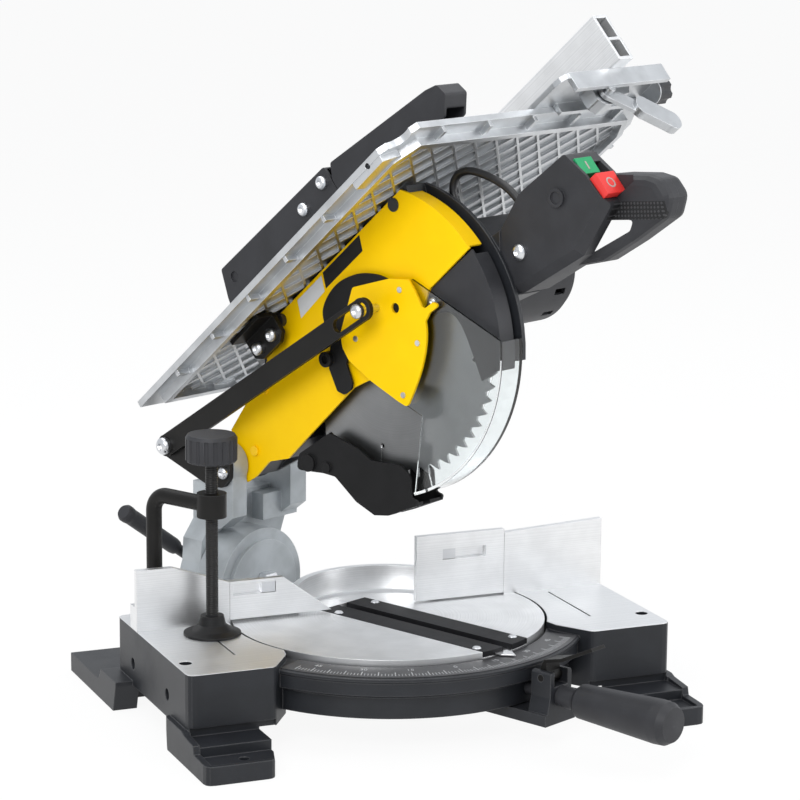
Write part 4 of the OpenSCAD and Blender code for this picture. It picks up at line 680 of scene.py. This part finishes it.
def tube_piece(name, route, radius, sides, across_route, body, made):
    """Closed round tube: a circle carried along a route in metres, whose first axis stays square to a fixed
    direction."""
    ahead = np.gradient(route, axis=0)
    ahead /= np.linalg.norm(ahead, axis=1, keepdims=True)
    u = np.cross(np.broadcast_to(across_route, ahead.shape), ahead)
    u /= np.linalg.norm(u, axis=1, keepdims=True)
    v = np.cross(ahead, u)
    a = turn_round(sides)[None, :, None]
    rings = route[:, None, :] + radius * (np.cos(a) * u[:, None, :] + np.sin(a) * v[:, None, :])
    return piece(name, rings, capped_faces(len(route), sides), body, made)


# %% [markdown]
# ## Switch lead
# The switch lead leaves the head casting, rises in a loop behind the cover and goes into the switch box. It is
# a round rubber sheath of fixed length, so a circle carried along its route is its true form. A Blender curve
# with a bevel would give the same tube, but an array also gives the length that the cord's row has to state.

# %% Switch lead
LEAD_ACROSS, LEAD_RADIUS, LEAD_STEPS, LEAD_SIDES = 30.0, 3.5, 6, 20
LEAD_ROUTE = [(118, 2), (118, 25), (116, 50), (120, 68), (132, 75), (146, 70), (160, 54), (170, 36), (174, 20),
              (174, 8)]


def curve_through(points, steps):
    """Smooth route through the points: on each stretch, the cubic whose slope at a point is half the step
    between its neighbours."""
    p = np.asarray(points, float)
    before, after = np.vstack([p[:1], p[:-2]]), np.vstack([p[2:], p[-1:]])
    a, b, c, d = (q[:, None, :] for q in (before, p[:-1], p[1:], after))
    t = (np.arange(steps) / steps)[None, :, None]
    squared, cubed = 2 * a - 5 * b + 4 * c - d, 3 * b - a - 3 * c + d
    stretches = b + ((c - a) * t + squared * t ** 2 + cubed * t ** 3) / 2
    return np.vstack([stretches.reshape(-1, 3), p[-1:]])


rubber = finish("lead_rubber", (0.012, 0.012, 0.013), 0.35, grain=2200, depth=0.00002, edge=0.0003)
lead_route = from_head(curve_through([(LEAD_ACROSS, s, n) for s, n in LEAD_ROUTE], LEAD_STEPS))
lead = tube_piece("lead_sheath", lead_route, LEAD_RADIUS * MM, LEAD_SIDES, AWAY, "head", rubber)
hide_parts("switch_lead")

# %% [markdown]
# ## Return spring
# The spring that lifts the head is wound round the chop pivot. The same circle is carried along a helix, which
# is a turn about the pivot's axis with a steady step along it.

# %% Return spring
SPRING_WIRE, SPRING_TURNS, SPRING_RADIUS, SPRING_LENGTH, SPRING_FROM = 1.6, 4, 11.6, 18.0, 24.4
STEPS_PER_TURN, WIRE_SIDES = 40, 14
angle = np.linspace(0, 2 * np.pi * SPRING_TURNS, STEPS_PER_TURN * SPRING_TURNS + 1)
coil = from_mitre(np.stack([SPRING_FROM + SPRING_LENGTH * angle / angle[-1],
                            PIVOT_Y + SPRING_RADIUS * np.cos(angle),
                            PIVOT_Z + SPRING_RADIUS * np.sin(angle)], -1))
spring = tube_piece("spring_coil", coil, SPRING_WIRE * MM, WIRE_SIDES, from_mitre([1, 0, 0]), "tilt", steel)
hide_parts("return_spring")
print("spring turns", SPRING_TURNS)

# %% [markdown]
# ## Clamp thread
# The clamp's screw is threaded along its whole length. A thread is close to a surface of revolution, whose
# radius rises and falls once per turn and once per pitch, so one formula of angle and height makes it. A screw
# modifier would need a profile of its own and an end to trim.

# %% Thread
CLAMP_AT = (-165.0, 0.0, 0.0)
THREAD_LOW, THREAD_HIGH, THREAD_ROOT, THREAD_CREST, THREAD_PITCH = 94, 229, 5.02, 5.6, 2.0
THREAD_SIDES, ROWS_PER_PITCH = 32, 6


def thread_points(low, high, root, crest, pitch):
    """Radius at angle a and height z: root plus a triangle wave of z / pitch - a / one turn."""
    z = np.linspace(low, high, int((high - low) / pitch * ROWS_PER_PITCH))[:, None]
    a = turn_round(THREAD_SIDES)[None, :]
    phase = (z / pitch - a / (2 * np.pi)) % 1
    radius = root + (crest - root) * (1 - np.abs(2 * phase - 1))
    return np.stack(np.broadcast_arrays(radius * np.cos(a), radius * np.sin(a), z), -1)


thread = thread_points(THREAD_LOW, THREAD_HIGH, THREAD_ROOT, THREAD_CREST, THREAD_PITCH)
piece("clamp_thread", (thread + CLAMP_AT) * MM, capped_faces(*thread.shape[:2]), "clamp_screw", black_steel)
print("thread", thread.shape)

# %% [markdown]
# ## Screw heads
# Most of the saw's screws have a low domed head with a hexagonal socket. The CAD heads are plain discs, so a
# dome goes on each disc that shows. Its radius and height follow one profile turned round the screw's axis; the
# rows at the socket are drawn out to a hexagon instead of a circle. Cutting the sockets with booleans would
# leave long thin faces round each one.

# %% Domed heads
# Radius of each ring as a share of the head's: socket floor and wall, dome, rim, underside.
RING_SHARES = np.array([0.02, 0.4, 0.4, 0.52, 0.66, 0.8, 0.9, 0.97, 1.0, 1.0, 0.02])
SOCKET_RINGS = np.array([0, 1, 1, 0, 0, 0, 0, 0, 0, 0, 0])[:, None]
DOME_RISE, SOCKET_FLOOR, SEAT_LIFT, SOCKET_FIT = 0.42, 0.12, 0.00002, 0.93
HEAD_SIDES, SHARP_FROM = 36, math.radians(38)


def domed_head(centre, axis, radius):
    """Rings of a socket head: floor and wall of a hexagon, then a dome whose height falls with the fourth power of
    the radius, then the underside."""
    axis = axis / np.linalg.norm(axis)
    u = np.cross(axis, (0.0, 0.0, 1.0))
    u /= np.linalg.norm(u)
    v = np.cross(u, axis)
    height = DOME_RISE * radius * (1 - RING_SHARES ** 4)
    height[:2] = SOCKET_FLOOR * radius
    height[-2:] = SEAT_LIFT
    a = turn_round(HEAD_SIDES)[None, :]
    hexagon = SOCKET_FIT / np.cos((a % (np.pi / 3)) - np.pi / 6)
    out = radius * RING_SHARES[:, None] * (1 + SOCKET_RINGS * (hexagon - 1))
    return (centre + height[:, None, None] * axis + (out * np.cos(a))[..., None] * u
            + (out * np.sin(a))[..., None] * v)


def domed_heads(name, heads, body):
    """One zinc object of separate heads, each given by its seat in metres, the way it faces and its radius in
    millimetres."""
    rings = np.array([domed_head(centre, axis, radius * MM) for centre, axis, radius in heads])
    count, rows, sides = rings.shape[:3]
    faces = [face for i in range(count) for face in capped_faces(rows, sides, i * rows * sides)]
    piece(name, rings, faces, body, zinc).data.set_sharp_from_angle(angle=SHARP_FROM)
    print(name, count)


def on_head(places, way, radius):
    """Equal heads seated at head points."""
    return [(from_head(place), way, radius) for place in places]


domed_heads("guard_pin_head", on_head([(-46.0, 20, 20)], OUT, 6.5), "guard")
domed_heads("link_bolt_heads", [(from_mitre((-45.8, 241.4, 200.3)), OUT, 8),
                                (from_mitre((-39.0, 169.7, 184.8)), OUT, 5.5)], "tilt")
domed_heads("table_bolt_heads", on_head([(-30.0, -117, 70), (-30.0, -95, 70)], OUT, 6)
            + on_head([(-17.0, 35, 143), (-17.0, 1.5, 138)], OUT, 6)
            + on_head([(17.0, 35, 143), (17.0, 1.5, 138)], AWAY, 6), "table")
domed_heads("head_screw_heads", on_head([(15.6, 156, -21)], OUT, 7) + on_head([(-10.0, 70, -9)], OUT, 3.5), "head")

# %% [markdown]
# ## Plates
# The cover carries a dark name strip and a pale badge. Both are thin films here, with nothing on them. A film
# in the cover's material would need a mask with four sloping sides; a plate a fifth of a millimetre thick has
# the sharp outline at once.

# %% Blank plates
COVER_FACE, FILM_UNDER, FILM_OVER = -11.0, 0.03, 0.22
STRIP = [(-26, 71), (32, 71), (38, 84), (-20, 84)]
BADGE = [(-69, 68), (-29, 70), (-23, 83), (-62, 83)]


def prism(name, under, over, body, made):
    """Thin plate between two outlines of head points, both anticlockwise as seen from outside: the two outlines
    are its faces, and each pair of neighbours spans a side."""
    piece(name, from_head(np.vstack([under, over])), capped_faces(2, len(under)), body, made, smooth=False)


def on_cover(corners, lift):
    """Corners (forward, up) set a little way off the cover's outer face."""
    return [(COVER_FACE - lift, s, n) for s, n in corners]


badge_film = finish("pale_badge_film", (0.7, 0.71, 0.72), 0.35, grain=1500, depth=0.00001, tone=0.03)
strip_film = finish("dark_strip_film", (0.012, 0.012, 0.013), 0.35, grain=1500, depth=0.00001,
                    Specular_IOR_Level=MATT)
prism("dark_strip", on_cover(STRIP, FILM_UNDER), on_cover(STRIP, FILM_OVER), "head", strip_film)
prism("pale_badge", on_cover(BADGE, FILM_UNDER), on_cover(BADGE, FILM_OVER), "head", badge_film)
print("films", round(FILM_OVER - FILM_UNDER, 2), "mm thick")

# %% [markdown]
# ## Button marks
# The two switch buttons get the plain bar and ring that such buttons have for on and off. They ride on their
# own buttons, so they go in when a button is pressed.

# %% Button marks
START_FACE, STOP_FACE, MARK_THICK = 251.02, 262.02, 0.15
BAR = [(32.1, -5), (33.9, -5), (33.9, 3), (32.1, 3)]
RING_CENTRE, RING_INNER, RING_OUTER, RING_SIDES = (33.0, -26.5), 3.6, 5.0, 40


def on_button(points, forward):
    """Points (across, up) on a button's front face."""
    return [(x, forward, n) for x, n in points]


def ring_mark(name, forward, body, made):
    """Flat ring: a small rectangle carried round the centre, closed both ways."""
    a = turn_round(RING_SIDES)[None, :]
    radius = np.array([RING_INNER, RING_OUTER, RING_OUTER, RING_INNER])[:, None]
    level = np.array([forward, forward, forward + MARK_THICK, forward + MARK_THICK])[:, None]
    ring = np.stack(np.broadcast_arrays(RING_CENTRE[0] + radius * np.cos(a), level,
                                        RING_CENTRE[1] + radius * np.sin(a)), -1)
    piece(name, from_head(ring), grid_faces(4, RING_SIDES, True, True).tolist(), body, made, smooth=False)


pale_print = finish("pale_button_print", (0.42, 0.36, 0.33), 0.45, grain=1500, depth=0.00001, tone=0.03)
prism("on_bar", on_button(BAR, START_FACE), on_button(BAR, START_FACE + MARK_THICK), "start_button", pale_print)
ring_mark("off_ring", STOP_FACE, "stop_button", pale_print)
print("button marks", MARK_THICK, "mm thick")

# %% [markdown]
# ## Mitre scale
# The ring in front of the turntable carries a degree scale: a short mark for each degree, a longer one for
# every fifth, and plain numerals. The marks are thin plates on the ring, laid out by angle in one array, so
# that they stay sharp at any distance.

# %% Scale marks
SCALE_TOP, SCALE_REACH, MARK_HIGH, LONG_EVERY = 70.8, 50, 0.1, 5
SHORT_FROM, LONG_FROM, MARKS_TO = 162.5, 158.0, 168.0
SHORT_HALF, LONG_HALF = 0.28, 0.4
degrees = np.arange(-SCALE_REACH, SCALE_REACH + 1)
is_long = degrees % LONG_EVERY == 0
inner = np.where(is_long, LONG_FROM, SHORT_FROM)[:, None]
turn_to = np.radians(degrees - 90.0)
out_dir = np.stack([np.cos(turn_to), np.sin(turn_to)], -1)
side = np.stack([-out_dir[:, 1], out_dir[:, 0]], -1) * np.where(is_long, LONG_HALF, SHORT_HALF)[:, None]
corners = np.stack([out_dir * inner - side, out_dir * MARKS_TO - side, out_dir * MARKS_TO + side,
                    out_dir * inner + side], 1)
levels = (SCALE_TOP, SCALE_TOP + MARK_HIGH)
mark_points = np.concatenate([np.concatenate([corners, np.full((len(degrees), 4, 1), z)], -1) for z in levels], 1)
BOX_FACES = np.array([(3, 2, 1, 0), (4, 5, 6, 7), (0, 1, 5, 4), (1, 2, 6, 5), (2, 3, 7, 6), (3, 0, 4, 7)])
mark_faces = (BOX_FACES[None] + 8 * np.arange(len(degrees))[:, None, None]).reshape(-1, 4)
scale_print = finish("scale_print", (0.5, 0.51, 0.52), 0.5, grain=1500, depth=0.00001)
piece("scale_marks", mark_points * MM, mark_faces.tolist(), "base", scale_print, False)
print("scale marks", len(degrees))

# %% [markdown]
# The numerals are Blender's own text, in its built-in typeface. Text is a curve, and the part is made of
# meshes, so each numeral is made a mesh before it is set on the ring.

# %% Numerals
NUMERALS, NUMERAL_SIZE, NUMERAL_RADIUS = (-45, -30, -15, 0, 15, 30, 45), 7.0, 151.5


def numeral(name, text, place, turn_by, body, made):
    """Flat text made a mesh, turned about its middle and set on the ring."""
    curve = bpy.data.curves.new(name, "FONT")
    curve.body = text
    curve.size = NUMERAL_SIZE * MM
    curve.align_x = "CENTER"
    curve.align_y = "CENTER"
    curve.extrude = MARK_HIGH / 2 * MM
    words = bpy.data.objects.new(name + "_words", curve)
    bpy.context.scene.collection.objects.link(words)
    bpy.context.view_layer.update()
    mesh = bpy.data.meshes.new_from_object(words.evaluated_get(bpy.context.evaluated_depsgraph_get()))
    bpy.data.objects.remove(words)
    mesh.transform(Matrix.Translation(Vector(place) * MM) @ Matrix.Rotation(turn_by, 4, "Z"))
    mesh.materials.clear()
    put(name, mesh, body, made)


for value in NUMERALS:
    direction = math.radians(value - 90)
    place = (NUMERAL_RADIUS * math.cos(direction), NUMERAL_RADIUS * math.sin(direction), SCALE_TOP + MARK_HIGH / 2)
    numeral(f"scale_numeral_{value % 360}", str(abs(value)), place, math.radians(value), "base", scale_print)
print("numerals", len(NUMERALS))
